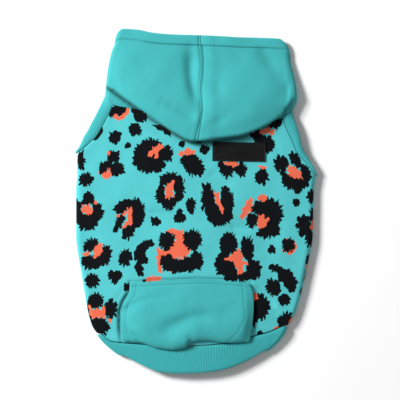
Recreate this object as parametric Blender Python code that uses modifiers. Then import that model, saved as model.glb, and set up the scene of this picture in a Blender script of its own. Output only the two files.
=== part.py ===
"""Dog hoodie of soft fleece, laid flat on its belly with the hood above, back side up.

X runs across the back, Y from tail to hood, Z up from the floor. Each piece of cloth starts as a flat
grid, is bent to its place by the functions below, and gets its thickness from Solidify."""

import math
from collections import namedtuple

import bmesh
import bpy
import numpy as np

# Sizes in metres
HALF_WIDTH = 0.1205  # middle of the back to a side fold, at the chest
BODY_LENGTH = 0.222  # waistband seam to the neck seam, along the middle
HOOD_LENGTH = 0.086  # neck seam to the hood's hem
RIB_LENGTH = 0.030  # waistband seam to its open edge
BINDING_WIDTH = 0.012
WALL = 0.0018
GAP = 0.0004  # between the edges of two sewn pieces
EDGE_HEIGHT = 0.0094  # of the side folds over the floor
BACK_HEIGHT = 0.0138  # of the middle of the back
FOLD_RADIUS = 0.0050  # of the side folds, seen from above
TUCK_HEIGHT = 0.0044  # lower turn of the fold in the hood
SAG_HEIGHT = 0.0074  # upper turn of it, that hangs over the neck
TUCK_DEPTH = 0.009  # how far the lower turn lies in under the sag
HOOD_EDGE_HEIGHT = 0.0088  # of the hem over the floor
HEM_WIDTH = 0.0105
HEM_THICKNESS = 0.0006  # added where the hem is double
POCKET_HEIGHT = 0.0085  # how far the pocket stands off the back
END_BULGE = 0.0010  # roundness of a binding's end at the neck
END_SPACE = 0.0012  # how far that end stays from the corner
LABEL_LENGTH = 0.053
LABEL_WIDTH = 0.019
LABEL_THICKNESS = 0.0008
CREASE_DEPTH = 0.0016
CREASE_WIDTH = 0.0085
SIDE_WRAP = 0.085  # share of the half width by which the back runs in under the side

TEAL = (0.062, 0.462, 0.482)
PRINT_TEAL = (0.068, 0.475, 0.500)
RIB_TEAL = (0.043, 0.400, 0.410)
BLACK = (0.010, 0.012, 0.014)

# Side folds of the body: shares of BODY_LENGTH along, of HALF_WIDTH across
Side = namedtuple("Side", "along left right")
SIDES = [
    Side(0.036, -0.817, 0.714),
    Side(0.072, -0.859, 0.763),
    Side(0.099, -0.876, 0.801),
    Side(0.153, -0.900, 0.842),
    Side(0.234, -0.925, 0.884),
    Side(0.315, -0.950, 0.917),
    Side(0.396, -0.975, 0.950),
    Side(0.477, -0.992, 0.975),
    Side(0.586, -0.992, 0.979),
    Side(0.694, -0.992, 0.983),
    Side(0.748, -0.983, 1.000),
    Side(1.090, -0.983, 1.000),
]
# Armhole seams: shares of HALF_WIDTH, BODY_LENGTH and BINDING_WIDTH
Hole = namedtuple("Hole", "across along width")
LEFT_HOLE = [
    Hole(-0.983, 0.847, 0.250),
    Hole(-0.967, 0.858, 0.267),
    Hole(-0.925, 0.874, 0.433),
    Hole(-0.876, 0.899, 0.708),
    Hole(-0.834, 0.919, 0.875),
    Hole(-0.776, 0.968, 0.975),
    Hole(-0.726, 1.018, 1.000),
    Hole(-0.685, 1.068, 1.000),
]
RIGHT_HOLE = [
    Hole(0.726, 1.005, 1.042),
    Hole(0.751, 0.968, 0.958),
    Hole(0.801, 0.910, 0.792),
    Hole(0.842, 0.856, 0.583),
    Hole(0.900, 0.820, 0.417),
    Hole(0.959, 0.782, 0.283),
    Hole(1.000, 0.748, 0.183),
]
# Neck seam on the back and on the belly: shares of HALF_WIDTH and BODY_LENGTH
Neck = namedtuple("Neck", "across back belly")
NECK = [
    Neck(-0.768, 1.099, 1.099),
    Neck(-0.726, 1.083, 1.083),
    Neck(-0.685, 1.068, 1.068),
    Neck(-0.510, 1.050, 1.032),
    Neck(-0.253, 1.018, 0.991),
    Neck(0.008, 1.000, 0.973),
    Neck(0.369, 0.991, 0.977),
    Neck(0.618, 0.998, 0.995),
    Neck(0.726, 1.007, 1.007),
    Neck(0.776, 1.027, 1.027),
    Neck(0.817, 1.045, 1.045),
]
# Waistband seam and open edge, back and belly: share across the band, shares of RIB_LENGTH below the datum
Rim = namedtuple("Rim", "across back belly")
RIB_SEAM = [
    Rim(-1.000, -0.267, -0.267),
    Rim(-0.895, -0.033, -0.467),
    Rim(-0.760, 0.017, -0.633),
    Rim(-0.500, 0.067, -0.800),
    Rim(-0.200, 0.117, -0.867),
    Rim(0.100, 0.100, -0.867),
    Rim(0.410, 0.033, -0.833),
    Rim(0.610, -0.067, -0.783),
    Rim(0.710, -0.183, -0.733),
    Rim(0.895, -0.333, -0.633),
    Rim(1.000, -0.533, -0.533),
]
RIB_EDGE = [
    Rim(-1.000, 0.467, 0.467),
    Rim(-0.850, 0.667, 0.367),
    Rim(-0.660, 0.867, 0.233),
    Rim(-0.500, 0.990, 0.167),
    Rim(-0.190, 1.033, 0.100),
    Rim(0.135, 1.020, 0.100),
    Rim(0.430, 0.867, 0.133),
    Rim(0.690, 0.667, 0.200),
    Rim(0.880, 0.467, 0.267),
    Rim(1.000, 0.317, 0.317),
]
RIB_EDGE_LEFT = -0.627  # its side folds, as shares of HALF_WIDTH
RIB_EDGE_RIGHT = 0.602
# Outline and centre seam of the hood: shares of HOOD_LENGTH past the neck, of HALF_WIDTH across
Outline = namedtuple("Outline", "along left seam right")
HOOD = [
    Outline(-0.256, -0.768, 0.012, 0.826),
    Outline(0.116, -0.768, 0.053, 0.809),
    Outline(0.186, -0.763, 0.050, 0.834),
    Outline(0.256, -0.755, 0.045, 0.846),
    Outline(0.395, -0.744, 0.040, 0.838),
    Outline(0.535, -0.734, 0.052, 0.817),
    Outline(0.674, -0.718, 0.054, 0.793),
    Outline(0.814, -0.693, 0.046, 0.776),
    Outline(0.884, -0.672, 0.041, 0.763),
    Outline(0.953, -0.660, 0.038, 0.743),
    Outline(1.047, -0.643, 0.037, 0.734),
]
# Open edge of the hood, from the centre seam (0) over the side fold (1 to 2) to the throat (3)
Hem = namedtuple("Hem", "round left right")
HEM = [
    Hem(0.00, 0.988, 0.988),
    Hem(0.25, 0.994, 0.977),
    Hem(0.50, 1.006, 0.965),
    Hem(0.65, 1.023, 0.962),
    Hem(0.80, 1.052, 0.958),
    Hem(1.00, 1.064, 0.948),
    Hem(1.50, 1.012, 0.837),
    Hem(2.00, 0.907, 0.744),
    Hem(2.50, 0.512, 0.465),
    Hem(3.00, 0.267, 0.267),
]
# Line of the hood's fold over the neck: shares of HALF_WIDTH and HOOD_LENGTH
Sag = namedtuple("Sag", "across along")
SAG = [
    Sag(-0.743, 0.390),
    Sag(-0.710, 0.372),
    Sag(-0.618, 0.279),
    Sag(-0.485, 0.151),
    Sag(-0.328, 0.000),
    Sag(-0.195, -0.128),
    Sag(-0.095, -0.209),
    Sag(-0.037, -0.244),
    Sag(0.037, -0.253),
    Sag(0.162, -0.227),
    Sag(0.378, -0.186),
    Sag(0.519, -0.116),
    Sag(0.660, -0.006),
    Sag(0.734, 0.070),
    Sag(0.801, 0.151),
    Sag(0.842, 0.256),
]
# Height of the hood from the sag (0) to the hem (1), as a share of the drop between them
Drop = namedtuple("Drop", "along fallen")
DROP = [
    Drop(0.00, 0.00),
    Drop(0.12, -0.05),
    Drop(0.28, 0.08),
    Drop(0.50, 0.45),
    Drop(0.72, 0.80),
    Drop(1.00, 1.00),
]
# Pocket sides (share down its height) and edges (share across), as shares of HALF_WIDTH and BODY_LENGTH
PocketSide = namedtuple("PocketSide", "down left right")
POCKET_SIDES = [
    PocketSide(0.00, -0.544, 0.452),
    PocketSide(0.16, -0.552, 0.477),
    PocketSide(0.33, -0.598, 0.484),
    PocketSide(0.47, -0.620, 0.483),
    PocketSide(0.75, -0.622, 0.469),
    PocketSide(1.00, -0.610, 0.448),
]
PocketEdge = namedtuple("PocketEdge", "across top bottom")
POCKET_EDGES = [
    PocketEdge(0.000, 0.266, 0.002),
    PocketEdge(0.150, 0.273, -0.005),
    PocketEdge(0.270, 0.278, -0.029),
    PocketEdge(0.390, 0.281, -0.038),
    PocketEdge(0.490, 0.283, -0.028),
    PocketEdge(0.545, 0.284, -0.002),
    PocketEdge(0.670, 0.282, 0.004),
    PocketEdge(0.820, 0.275, -0.005),
    PocketEdge(1.000, 0.266, -0.002),
]
# Soft creases, from one end to the other: shares of HALF_WIDTH and BODY_LENGTH, of CREASE_DEPTH and CREASE_WIDTH
Crease = namedtuple("Crease", "x0 y0 x1 y1 rise width")
HOOD_CREASES = [
    Crease(-0.079, 1.315, -0.095, 1.234, -0.7, 0.9),
    Crease(-0.095, 1.234, -0.021, 1.117, -1.1, 0.9),
    Crease(-0.021, 1.117, -0.012, 1.036, -1.4, 0.9),
    Crease(-0.245, 1.081, -0.062, 1.027, -0.8, 1.0),
    Crease(0.519, 1.360, 0.701, 1.234, -0.9, 1.1),
    Crease(-0.461, 1.126, -0.295, 1.063, 0.9, 1.8),
]
BODY_CREASES = [
    Crease(-0.411, 0.577, -0.112, 0.541, -0.6, 1.2),
    Crease(0.270, 0.514, 0.469, 0.527, -0.6, 1.2),
    Crease(0.560, 0.400, 0.620, 0.240, -0.6, 1.2),
    Crease(-0.800, 0.520, -0.730, 0.240, 0.6, 1.3),
    Crease(0.780, 0.660, 0.740, 0.320, 0.6, 1.3),
]
POCKET_CREASES = [
    Crease(-0.602, 0.153, -0.394, 0.203, -0.9, 0.9),
    Crease(-0.394, 0.203, -0.195, 0.216, -0.7, 0.9),
    Crease(-0.411, 0.063, -0.195, 0.086, -0.9, 0.9),
    Crease(-0.195, 0.086, 0.137, 0.122, -0.8, 0.9),
    Crease(0.270, 0.018, 0.386, 0.072, -0.7, 0.8),
]
LABEL_ACROSS = 0.361  # middle of the label
LABEL_ALONG = 0.857
LABEL_TURN = math.radians(-1.0)


def follow(rows, key, name, at):
    """Smooth curve through one column of a table, level beyond its ends."""
    x = np.array([getattr(row, key) for row in rows])
    y = np.array([getattr(row, name) for row in rows])
    step = np.diff(x)
    rate = np.diff(y) / step
    same = rate[:-1] * rate[1:] > 0
    inner = np.where(same, 2 * rate[:-1] * rate[1:] / np.where(same, rate[:-1] + rate[1:], 1), 0)
    slope = np.concatenate([rate[:1], inner, rate[-1:]])
    at = np.clip(at, x[0], x[-1])
    i = np.clip(np.searchsorted(x, at) - 1, 0, len(step) - 1)
    t = (at - x[i]) / step[i]
    left = y[i] * (1 + 2 * t) * (1 - t) ** 2 + slope[i] * step[i] * t * (1 - t) ** 2
    return left + y[i + 1] * t * t * (3 - 2 * t) - slope[i + 1] * step[i] * t * t * (1 - t)


def eased(t):
    """0 to 1 with level ends."""
    t = np.clip(t, 0, 1)
    return t * t * (3 - 2 * t)


def creased(rows, x, y):
    """Rise and fall of the soft creases at a place."""
    height = 0 * x
    for row in rows:
        start = np.array([row.x0 * HALF_WIDTH, row.y0 * BODY_LENGTH])
        run = np.array([row.x1 * HALF_WIDTH, row.y1 * BODY_LENGTH]) - start
        t = np.clip(((x - start[0]) * run[0] + (y - start[1]) * run[1]) / run.dot(run), 0, 1)
        off = np.hypot(x - start[0] - t * run[0], y - start[1] - t * run[1])
        height = height + row.rise * CREASE_DEPTH * np.exp(-((off / (row.width * CREASE_WIDTH)) ** 2))
    return height


def section(a, middle, edge):
    """Place across a flattened tube: a = 0 to 1 on top, 1 to 2 round the side fold, 2 to 3 underneath."""
    way = np.sign(edge - middle)
    share = np.where(a <= 1, a, np.where(a <= 2, 1, 3 - a))
    turn = np.clip(a - 1, 0, 1) * math.pi
    return middle + (edge - middle - way * FOLD_RADIUS) * share + way * FOLD_RADIUS * np.sin(turn)


def sunk(a):
    """Share of the top's height that is left on the way round a side fold."""
    return (1 + np.cos(np.clip(a - 1, 0, 1) * math.pi)) / 2


def body_sides(y):
    along = y / BODY_LENGTH
    return HALF_WIDTH * follow(SIDES, "along", "left", along), HALF_WIDTH * follow(SIDES, "along", "right", along)


def body_across(u, y):
    left, right = body_sides(y)
    return section(np.abs(u), (left + right) / 2, np.where(u < 0, left, right))


def pillow(u):
    """Height of the back over the floor at a share of the way to a side fold."""
    return EDGE_HEIGHT + (BACK_HEIGHT - EDGE_HEIGHT) * (1 - np.clip(u, -1, 1) ** 2) ** 1.5


def back_height(x, y):
    left, right = body_sides(y)
    u = (x - (left + right) / 2) / ((right - left) / 2 - FOLD_RADIUS)
    return pillow(u) + creased(BODY_CREASES, x, y) * (1 - np.clip(np.abs(u), 0, 1) ** 6)


def corner_share(hole):
    """Share of the body's half width at which an armhole meets the neck."""
    left, right = body_sides(np.array([BODY_LENGTH]))
    middle = (left[0] + right[0]) / 2
    return abs(hole.across * HALF_WIDTH - middle) / ((right[0] - left[0]) / 2 - FOLD_RADIUS)


def top_seam(x, side):
    """Where the body ends towards the hood: armhole, neck, armhole. side is "back" or "belly"."""
    across = x / HALF_WIDTH
    left = follow(LEFT_HOLE, "across", "along", across)
    right = follow(RIGHT_HOLE, "across", "along", across)
    neck = follow(NECK, "across", side, across)
    along = np.where(across < LEFT_HOLE[-1].across, left, np.where(across > RIGHT_HOLE[0].across, right, neck))
    return BODY_LENGTH * along


def body_point(u, v):
    """Point of the body tube: u round it, v from the waistband seam (0) to the armholes and neck (1)."""
    a = np.abs(u)
    under = a > 1.5
    shoulder = body_across(u, BODY_LENGTH)
    top = np.where(under, top_seam(shoulder, "belly"), top_seam(shoulder, "back")) - GAP / 2
    share = np.sign(u) * np.where(a <= 1, a, np.where(a <= 2, 1, 3 - a))
    low = np.where(under, follow(RIB_SEAM, "across", "belly", share), follow(RIB_SEAM, "across", "back", share))
    low = GAP / 2 - RIB_LENGTH * low
    y = low + (top - low) * v
    x = body_across(u, y)
    z = np.where(a <= 1, back_height(x, y), EDGE_HEIGHT * sunk(a))
    return x, y, z


def rib_point(u, v):
    """Point of the waistband: u round it, v from its open edge (0) to the seam (1)."""
    a = np.abs(u)
    under = a > 1.5
    share = np.sign(u) * np.where(a <= 1, a, np.where(a <= 2, 1, 3 - a))
    ends = []
    for rows in (RIB_EDGE, RIB_SEAM):
        back, belly = follow(rows, "across", "back", share), follow(rows, "across", "belly", share)
        ends.append(-RIB_LENGTH * np.where(under, belly, back))
    y = ends[0] + (ends[1] - 2 * GAP - ends[0]) * v
    seam_left, seam_right = body_sides(ends[1])
    left = seam_left + (RIB_EDGE_LEFT * HALF_WIDTH - seam_left) * (1 - v) * (1 - 0.4 * v)
    right = seam_right + (RIB_EDGE_RIGHT * HALF_WIDTH - seam_right) * (1 - v)
    x = section(a, (left + right) / 2, np.where(u < 0, left, right))
    z = pillow(share) * sunk(a) * (0.86 + 0.14 * v)
    return x, y, z


def hood_point(u, g, side):
    """Point of a hood half: u from the centre seam round to the throat, g from the neck seam over the two
    turns of the fold (1 to 2 and 3 to 4) to the hem (5)."""
    a = np.abs(u)
    way = -1 if side == "left" else 1
    neck_edge = HALF_WIDTH * (NECK[0].across if side == "left" else NECK[-1].across)
    x = section(a, HALF_WIDTH * HOOD[1].seam, neck_edge + 0 * a)
    back = BODY_LENGTH * follow(NECK, "across", "back", x / HALF_WIDTH)
    belly = BODY_LENGTH * follow(NECK, "across", "belly", x / HALF_WIDTH)
    neck = np.where(a <= 1.5, back + GAP / 2, belly + 1.4 * GAP)
    hem = BODY_LENGTH + HOOD_LENGTH * follow(HEM, "round", side, a)
    low = back_height(x, 0 * x + BODY_LENGTH)
    fold = BODY_LENGTH + HOOD_LENGTH * follow(SAG, "across", "along", x / HALF_WIDTH)
    full = np.where(a <= 1, eased((1 - a) / 0.24), 0)
    tuck = np.maximum(neck, fold) + TUCK_DEPTH
    r0 = TUCK_HEIGHT / 2
    r1 = SAG_HEIGHT / 2
    leg = [np.clip(g - i, 0, 1) for i in range(5)]
    flat = neck + (hem - neck) * (0.05 * (leg[0] + leg[1] + leg[2]) + 0.07 * leg[3] + 0.78 * leg[4])
    bent = neck + (tuck - r0 - neck) * leg[0] + r0 * np.sin(math.pi * leg[1])
    bent = bent + (fold + r1 - tuck + r0) * leg[2] - r1 * np.sin(math.pi * leg[3]) + (hem - fold - r1) * leg[4]
    y = flat + (bent - flat) * full
    rise = r0 * (1 - np.cos(math.pi * leg[1])) + r1 * (1 - np.cos(math.pi * leg[3]))
    crest = low + (TUCK_HEIGHT + SAG_HEIGHT) * full
    edge = HOOD_EDGE_HEIGHT * (1 + 0.15 * (1 - np.clip(a, 0, 1) ** 2))
    top = low + rise * full + (edge - crest) * follow(DROP, "along", "fallen", leg[4]) * np.sign(leg[4])
    along = (y - BODY_LENGTH) / HOOD_LENGTH
    seam = HALF_WIDTH * follow(HOOD, "along", "seam", along) + way * GAP * 0.75
    outer = HALF_WIDTH * follow(HOOD, "along", side, along)
    x = section(a, seam, outer)
    top = top + creased(HOOD_CREASES, x, y) * eased(leg[4] * 4) * (1 - np.clip(a, 0, 1) ** 6)
    top = top + HEM_THICKNESS * eased((HEM_WIDTH - (hem - y)) / 0.001) * np.sign(leg[4]) * (a <= 1)
    return x, y, top * sunk(a)


def binding_point(c, q, rows, way):
    """Point of an armhole binding: c round it like u on the body, and past the neck corner underneath up its
    own end; q from the seam (0) outwards."""
    neck = rows[-1] if way < 0 else rows[0]
    arm = rows[0] if way < 0 else rows[-1]
    start = corner_share(neck)
    a = np.where(c <= 3 - start, c, start)
    left, right = body_sides(0 * c + BODY_LENGTH)
    x = section(a, (left + right) / 2, left if way < 0 else right)
    y = top_seam(x, "back")
    turn = np.clip(c - 3 + start, 0, 1) * math.pi
    z = np.where(a <= 1, pillow(a), EDGE_HEIGHT * sunk(a))
    z = np.where(turn > 0, pillow(start) * (1 - np.cos(turn)) / 2, z)
    line = np.array([(neck.across - arm.across) * HALF_WIDTH, (neck.along - arm.along) * BODY_LENGTH])
    line = line / np.hypot(*line)
    out = np.array([-line[1], line[0]]) * -way
    width = BINDING_WIDTH * follow(rows, "across", "width", x / HALF_WIDTH) - GAP
    bulge = END_BULGE * np.sin(turn) - END_SPACE * eased(1 - 2 * (np.where(a <= 1, a, 3 - a) - start) / (1 - start))
    x = x + line[0] * bulge + out[0] * (1.5 * GAP + q * width)
    y = y + line[1] * bulge + out[1] * (1.5 * GAP + q * width)
    return x, y, z * (1 - 0.12 * q)


def pocket_point(w, v):
    """Point of the pocket: w across, v from its lower edge (0) to its upper one (1)."""
    top = BODY_LENGTH * follow(POCKET_EDGES, "across", "top", w)
    low = BODY_LENGTH * follow(POCKET_EDGES, "across", "bottom", w)
    y = low + (top - low) * v
    left = HALF_WIDTH * follow(POCKET_SIDES, "down", "left", 1 - v)
    right = HALF_WIDTH * follow(POCKET_SIDES, "down", "right", 1 - v)
    x = left + (right - left) * w
    free = np.sin(math.pi * np.clip(v, 0, 1)) ** 0.8
    z = back_height(x, y) + WALL + GAP + (POCKET_HEIGHT + creased(POCKET_CREASES, x, y)) * free
    return x, y, z


def label_point(w, v):
    """Point of the label, turned a little on the back."""
    dx = (w - 0.5) * LABEL_LENGTH
    dy = (v - 0.5) * LABEL_WIDTH
    x = LABEL_ACROSS * HALF_WIDTH + dx * math.cos(LABEL_TURN) - dy * math.sin(LABEL_TURN)
    y = LABEL_ALONG * BODY_LENGTH + dx * math.sin(LABEL_TURN) + dy * math.cos(LABEL_TURN)
    return x, y, back_height(x, y) + LABEL_THICKNESS + GAP


def cloth(name, place, across, along, material, thickness=WALL, closed=False):
    """A sheet of cloth with its outer face where place() puts it and its thickness inwards."""
    across = np.array(across)
    along = np.array(along)
    bpy.ops.mesh.primitive_grid_add(x_subdivisions=len(across) - 1, y_subdivisions=len(along) - 1, size=2)
    sheet = bpy.context.object
    sheet.name = name
    sheet.data.name = name
    flat = np.zeros(3 * len(sheet.data.vertices))
    sheet.data.vertices.foreach_get("co", flat)
    flat = flat.reshape(-1, 3)
    i = np.rint((flat[:, 0] + 1) / 2 * (len(across) - 1)).astype(int)
    j = np.rint((flat[:, 1] + 1) / 2 * (len(along) - 1)).astype(int)
    x, y, z = place(across[i], along[j])
    sheet.data.vertices.foreach_set("co", np.stack([x, y, z], axis=1).ravel())
    if closed:
        mesh = bmesh.new()
        mesh.from_mesh(sheet.data)
        bmesh.ops.remove_doubles(mesh, verts=mesh.verts, dist=0.00001)
        mesh.to_mesh(sheet.data)
        mesh.free()
    sheet.data.update()
    sheet.data.shade_smooth()
    sheet.data.set_sharp_from_angle(angle=math.radians(50))
    wall = sheet.modifiers.new("Wall", "SOLIDIFY")
    wall.thickness = thickness
    wall.offset = -1
    sheet.data.materials.append(material)
    garment.objects.link(sheet)
    for other in list(sheet.users_collection):
        if other != garment:
            other.objects.unlink(sheet)
    return sheet


def fabric(name, colour, roughness):
    material = bpy.data.materials.new(name)
    material.use_nodes = True
    shader = material.node_tree.nodes["Principled BSDF"]
    shader.inputs["Base Color"].default_value = (*colour, 1)
    shader.inputs["Roughness"].default_value = roughness
    shader.inputs["Metallic"].default_value = 0
    material.diffuse_color = (*colour, 1)
    return material


def steps(*stations):
    """Stations joined by even steps: value, count to the next, value and so on."""
    found = [stations[0]]
    for start, count, end in zip(stations[0::2], stations[1::2], stations[2::2]):
        found += [start + (end - start) * (k + 1) / count for k in range(count)]
    return found


for thing in list(bpy.data.objects):
    bpy.data.objects.remove(thing)
garment = bpy.data.collections.new("dog_hoodie")
bpy.context.scene.collection.children.link(garment)

plain = fabric("teal_fleece", TEAL, 0.9)
printed = fabric("printed_fleece", PRINT_TEAL, 0.85)
ribbed = fabric("teal_rib", RIB_TEAL, 0.9)
woven = fabric("black_label", BLACK, 0.6)

neck_left = corner_share(LEFT_HOLE[-1])
neck_right = corner_share(RIGHT_HOLE[0])
over = steps(-2, 6, -1, 5, -neck_left, 9, 0, 9, neck_right, 5, 1, 6, 2)
wrap = 2 + SIDE_WRAP

cloth("back_panel", body_point, [-wrap, *over, wrap], steps(0, 20, 1), printed)

# Across the belly: shares of the half width, from the right side seam to the left one
seam = 3 - wrap - GAP / (HALF_WIDTH - FOLD_RADIUS)
belly = steps(seam, 3, neck_right, 5, 0, 5, -neck_left, 3, -seam)
cloth("belly_panel", lambda s, v: body_point(np.where(s < 0, -3 - s, 3 - s), v), belly, steps(0, 10, 1), plain)

under = steps(-3, 8, -wrap)
ring = [*under, *over, *[-u for u in reversed(under)]]
cloth("waistband", rib_point, ring, steps(0, 3, 1), ribbed, closed=True)

rows = [0, 0.5, *steps(1, 4, 2), 2.5, *steps(3, 4, 4), 4.06, 4.16, 4.28, 4.42, 4.56, 4.70, 4.82, 4.895, 4.905, 4.95, 5]
half = [0, 0.04, *steps(0.16, 7, 1, 5, 2, 7, 3)]
cloth("hood_left", lambda u, g: hood_point(u, g, "left"), [-k for k in reversed(half)], rows, plain)
cloth("hood_right", lambda u, g: hood_point(u, g, "right"), half, rows, plain)

for side, rows, neck, way in (("left", LEFT_HOLE, neck_left, -1), ("right", RIGHT_HOLE, neck_right, 1)):
    low = [3 - s for s in steps(seam, 3, neck)]
    loop = [*steps(neck, 5, 1, 6, 2), wrap, *low, *steps(3 - neck, 4, 4 - neck)[1:]]
    loop = loop if way > 0 else loop[::-1]
    cloth("armhole_binding_" + side, lambda c, q: binding_point(c, q, rows, way), loop, steps(0, 2, 1), plain,
          closed=True)

cloth("pocket", pocket_point, steps(0, 17, 1), steps(0, 10, 1), plain)
cloth("label", label_point, steps(0, 7, 1), steps(0, 3, 1), woven, thickness=LABEL_THICKNESS)

# The garment is centred on its outline
points = np.array([v.co for thing in garment.objects for v in thing.data.vertices])
middle = (points.min(axis=0) + points.max(axis=0)) / 2
for thing in garment.objects:
    for vertex in thing.data.vertices:
        vertex.co.x -= middle[0]
        vertex.co.y -= middle[1]
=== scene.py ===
import math
from collections import namedtuple

import bmesh
import bpy
import numpy as np
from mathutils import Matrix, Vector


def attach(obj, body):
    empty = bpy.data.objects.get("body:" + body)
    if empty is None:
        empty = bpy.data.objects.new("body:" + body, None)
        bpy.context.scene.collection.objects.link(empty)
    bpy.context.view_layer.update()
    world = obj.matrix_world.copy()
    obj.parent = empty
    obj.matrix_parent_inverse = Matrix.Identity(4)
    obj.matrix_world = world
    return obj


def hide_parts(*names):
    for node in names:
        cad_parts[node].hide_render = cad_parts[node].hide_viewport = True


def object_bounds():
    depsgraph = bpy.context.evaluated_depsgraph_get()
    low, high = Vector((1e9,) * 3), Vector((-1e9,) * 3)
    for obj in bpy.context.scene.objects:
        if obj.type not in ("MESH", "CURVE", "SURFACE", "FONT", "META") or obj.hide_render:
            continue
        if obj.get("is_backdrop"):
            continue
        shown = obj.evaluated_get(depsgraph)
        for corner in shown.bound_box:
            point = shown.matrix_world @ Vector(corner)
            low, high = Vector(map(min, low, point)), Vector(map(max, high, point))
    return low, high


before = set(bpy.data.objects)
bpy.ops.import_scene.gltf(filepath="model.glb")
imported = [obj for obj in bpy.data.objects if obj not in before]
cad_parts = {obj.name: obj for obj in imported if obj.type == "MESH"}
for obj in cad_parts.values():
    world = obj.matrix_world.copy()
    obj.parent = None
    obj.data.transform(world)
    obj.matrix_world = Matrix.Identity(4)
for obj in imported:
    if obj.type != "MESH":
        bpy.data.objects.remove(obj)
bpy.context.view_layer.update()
bpy.ops.object.select_all(action="DESELECT")

# ---------------------------------------------------------------------------------------------------
# Back panel. One cut of fleece that covers the back and wraps round both sides, to seams under the belly.
# Its leopard print, black and coral on bright teal, is pressed into the outer face; the inner face is plain.
# ---------------------------------------------------------------------------------------------------
HALF_WIDTH = 0.1205  # middle of the back to a side fold, at the chest
BODY_LENGTH = 0.222  # waistband seam to the neck seam, along the middle
HOOD_LENGTH = 0.086
RIB_LENGTH = 0.030
BINDING_WIDTH = 0.012
WALL = 0.0018
GAP = 0.0004
EDGE_HEIGHT = 0.0094
BACK_HEIGHT = 0.0138
FOLD_RADIUS = 0.0050
FOLD_ARC = math.pi * math.hypot(FOLD_RADIUS, EDGE_HEIGHT / 2) / math.sqrt(2)  # round one side fold
SIDE_WRAP = 0.085  # share of the half width by which the back runs in under the side
SHIFT = (-0.00077, -0.14126)  # from the waistband seam's datum to the middle of the garment
SEAM_ROLL = 0.0007  # how far a sewn edge dips
SEAM_SOFTNESS = 0.0013

# Side folds: shares of BODY_LENGTH along, of HALF_WIDTH across
Side = namedtuple("Side", "along left right")
SIDES = [
    Side(0.036, -0.817, 0.714),
    Side(0.072, -0.859, 0.763),
    Side(0.099, -0.876, 0.801),
    Side(0.153, -0.900, 0.842),
    Side(0.234, -0.925, 0.884),
    Side(0.315, -0.950, 0.917),
    Side(0.396, -0.975, 0.950),
    Side(0.477, -0.992, 0.975),
    Side(0.586, -0.992, 0.979),
    Side(0.694, -0.992, 0.983),
    Side(0.748, -0.983, 1.000),
    Side(1.090, -0.983, 1.000),
]
# Armhole seams: shares of HALF_WIDTH, BODY_LENGTH and BINDING_WIDTH
Hole = namedtuple("Hole", "across along width")
LEFT_HOLE = [
    Hole(-0.983, 0.847, 0.250),
    Hole(-0.967, 0.858, 0.267),
    Hole(-0.925, 0.874, 0.433),
    Hole(-0.876, 0.899, 0.708),
    Hole(-0.834, 0.919, 0.875),
    Hole(-0.776, 0.968, 0.975),
    Hole(-0.726, 1.018, 1.000),
    Hole(-0.685, 1.068, 1.000),
]
RIGHT_HOLE = [
    Hole(0.726, 1.005, 1.042),
    Hole(0.751, 0.968, 0.958),
    Hole(0.801, 0.910, 0.792),
    Hole(0.842, 0.856, 0.583),
    Hole(0.900, 0.820, 0.417),
    Hole(0.959, 0.782, 0.283),
    Hole(1.000, 0.748, 0.183),
]
# Neck seam on the back and on the belly: shares of HALF_WIDTH and BODY_LENGTH
Neck = namedtuple("Neck", "across back belly")
NECK = [
    Neck(-0.768, 1.099, 1.099),
    Neck(-0.726, 1.083, 1.083),
    Neck(-0.685, 1.068, 1.068),
    Neck(-0.510, 1.050, 1.032),
    Neck(-0.253, 1.018, 0.991),
    Neck(0.008, 1.000, 0.973),
    Neck(0.369, 0.991, 0.977),
    Neck(0.618, 0.998, 0.995),
    Neck(0.726, 1.007, 1.007),
    Neck(0.776, 1.027, 1.027),
    Neck(0.817, 1.045, 1.045),
]
# Waistband seam, back and belly: share across the band, shares of RIB_LENGTH below the datum
Rim = namedtuple("Rim", "across back belly")
RIB_SEAM = [
    Rim(-1.000, -0.267, -0.267),
    Rim(-0.895, -0.033, -0.467),
    Rim(-0.760, 0.017, -0.633),
    Rim(-0.500, 0.067, -0.800),
    Rim(-0.200, 0.117, -0.867),
    Rim(0.100, 0.100, -0.867),
    Rim(0.410, 0.033, -0.833),
    Rim(0.610, -0.067, -0.783),
    Rim(0.710, -0.183, -0.733),
    Rim(0.895, -0.333, -0.633),
    Rim(1.000, -0.533, -0.533),
]
# Soft folds: places along each in millimetres from the middle of the waistband seam, rise and half width
Fold = namedtuple("Fold", "line rise width")
BODY_CREASES = [
    Fold([(-49, 128), (-13, 120)], -0.96, 10),
    Fold([(32, 114), (56, 117)], -0.96, 10),
    Fold([(67, 89), (75, 53)], -0.96, 10),
    Fold([(12, 172), (34, 150)], -1.2, 14),
    Fold([(-96, 115), (-88, 53)], 0.96, 11),
    Fold([(94, 146), (89, 71)], 0.96, 11),
]
BODY_FOLDS = [
    Fold([(-54, 130), (-25, 129), (-4, 124)], -0.40, 1.6),
    Fold([(30, 115), (50, 114), (66, 111)], -0.35, 2.2),
    Fold([(55, 56), (65, 49), (74, 41), (80, 32)], -2.2, 4.5),
    Fold([(-67, 58), (-74, 50), (-80, 40)], -0.35, 2.4),
    Fold([(-42, 213), (-24, 195)], -0.40, 4),
    Fold([(75, 206), (94, 169)], -0.35, 3.5),
    Fold([(-108, 155), (-75, 142)], -0.30, 3.5),
    Fold([(-66, 60), (-67, 50), (-73, 40), (-76, 30), (-76, 15), (-74.5, 0)], -2.0, 1.6),
    Fold([(-66, 60), (-35, 62), (0, 63.5), (30, 62.5), (55, 59.8)], -1.4, 1.5),
    Fold([(55.5, 59), (58.5, 42), (59.5, 31), (58, 15), (55, 1)], -0.7, 1.4),
]


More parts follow.
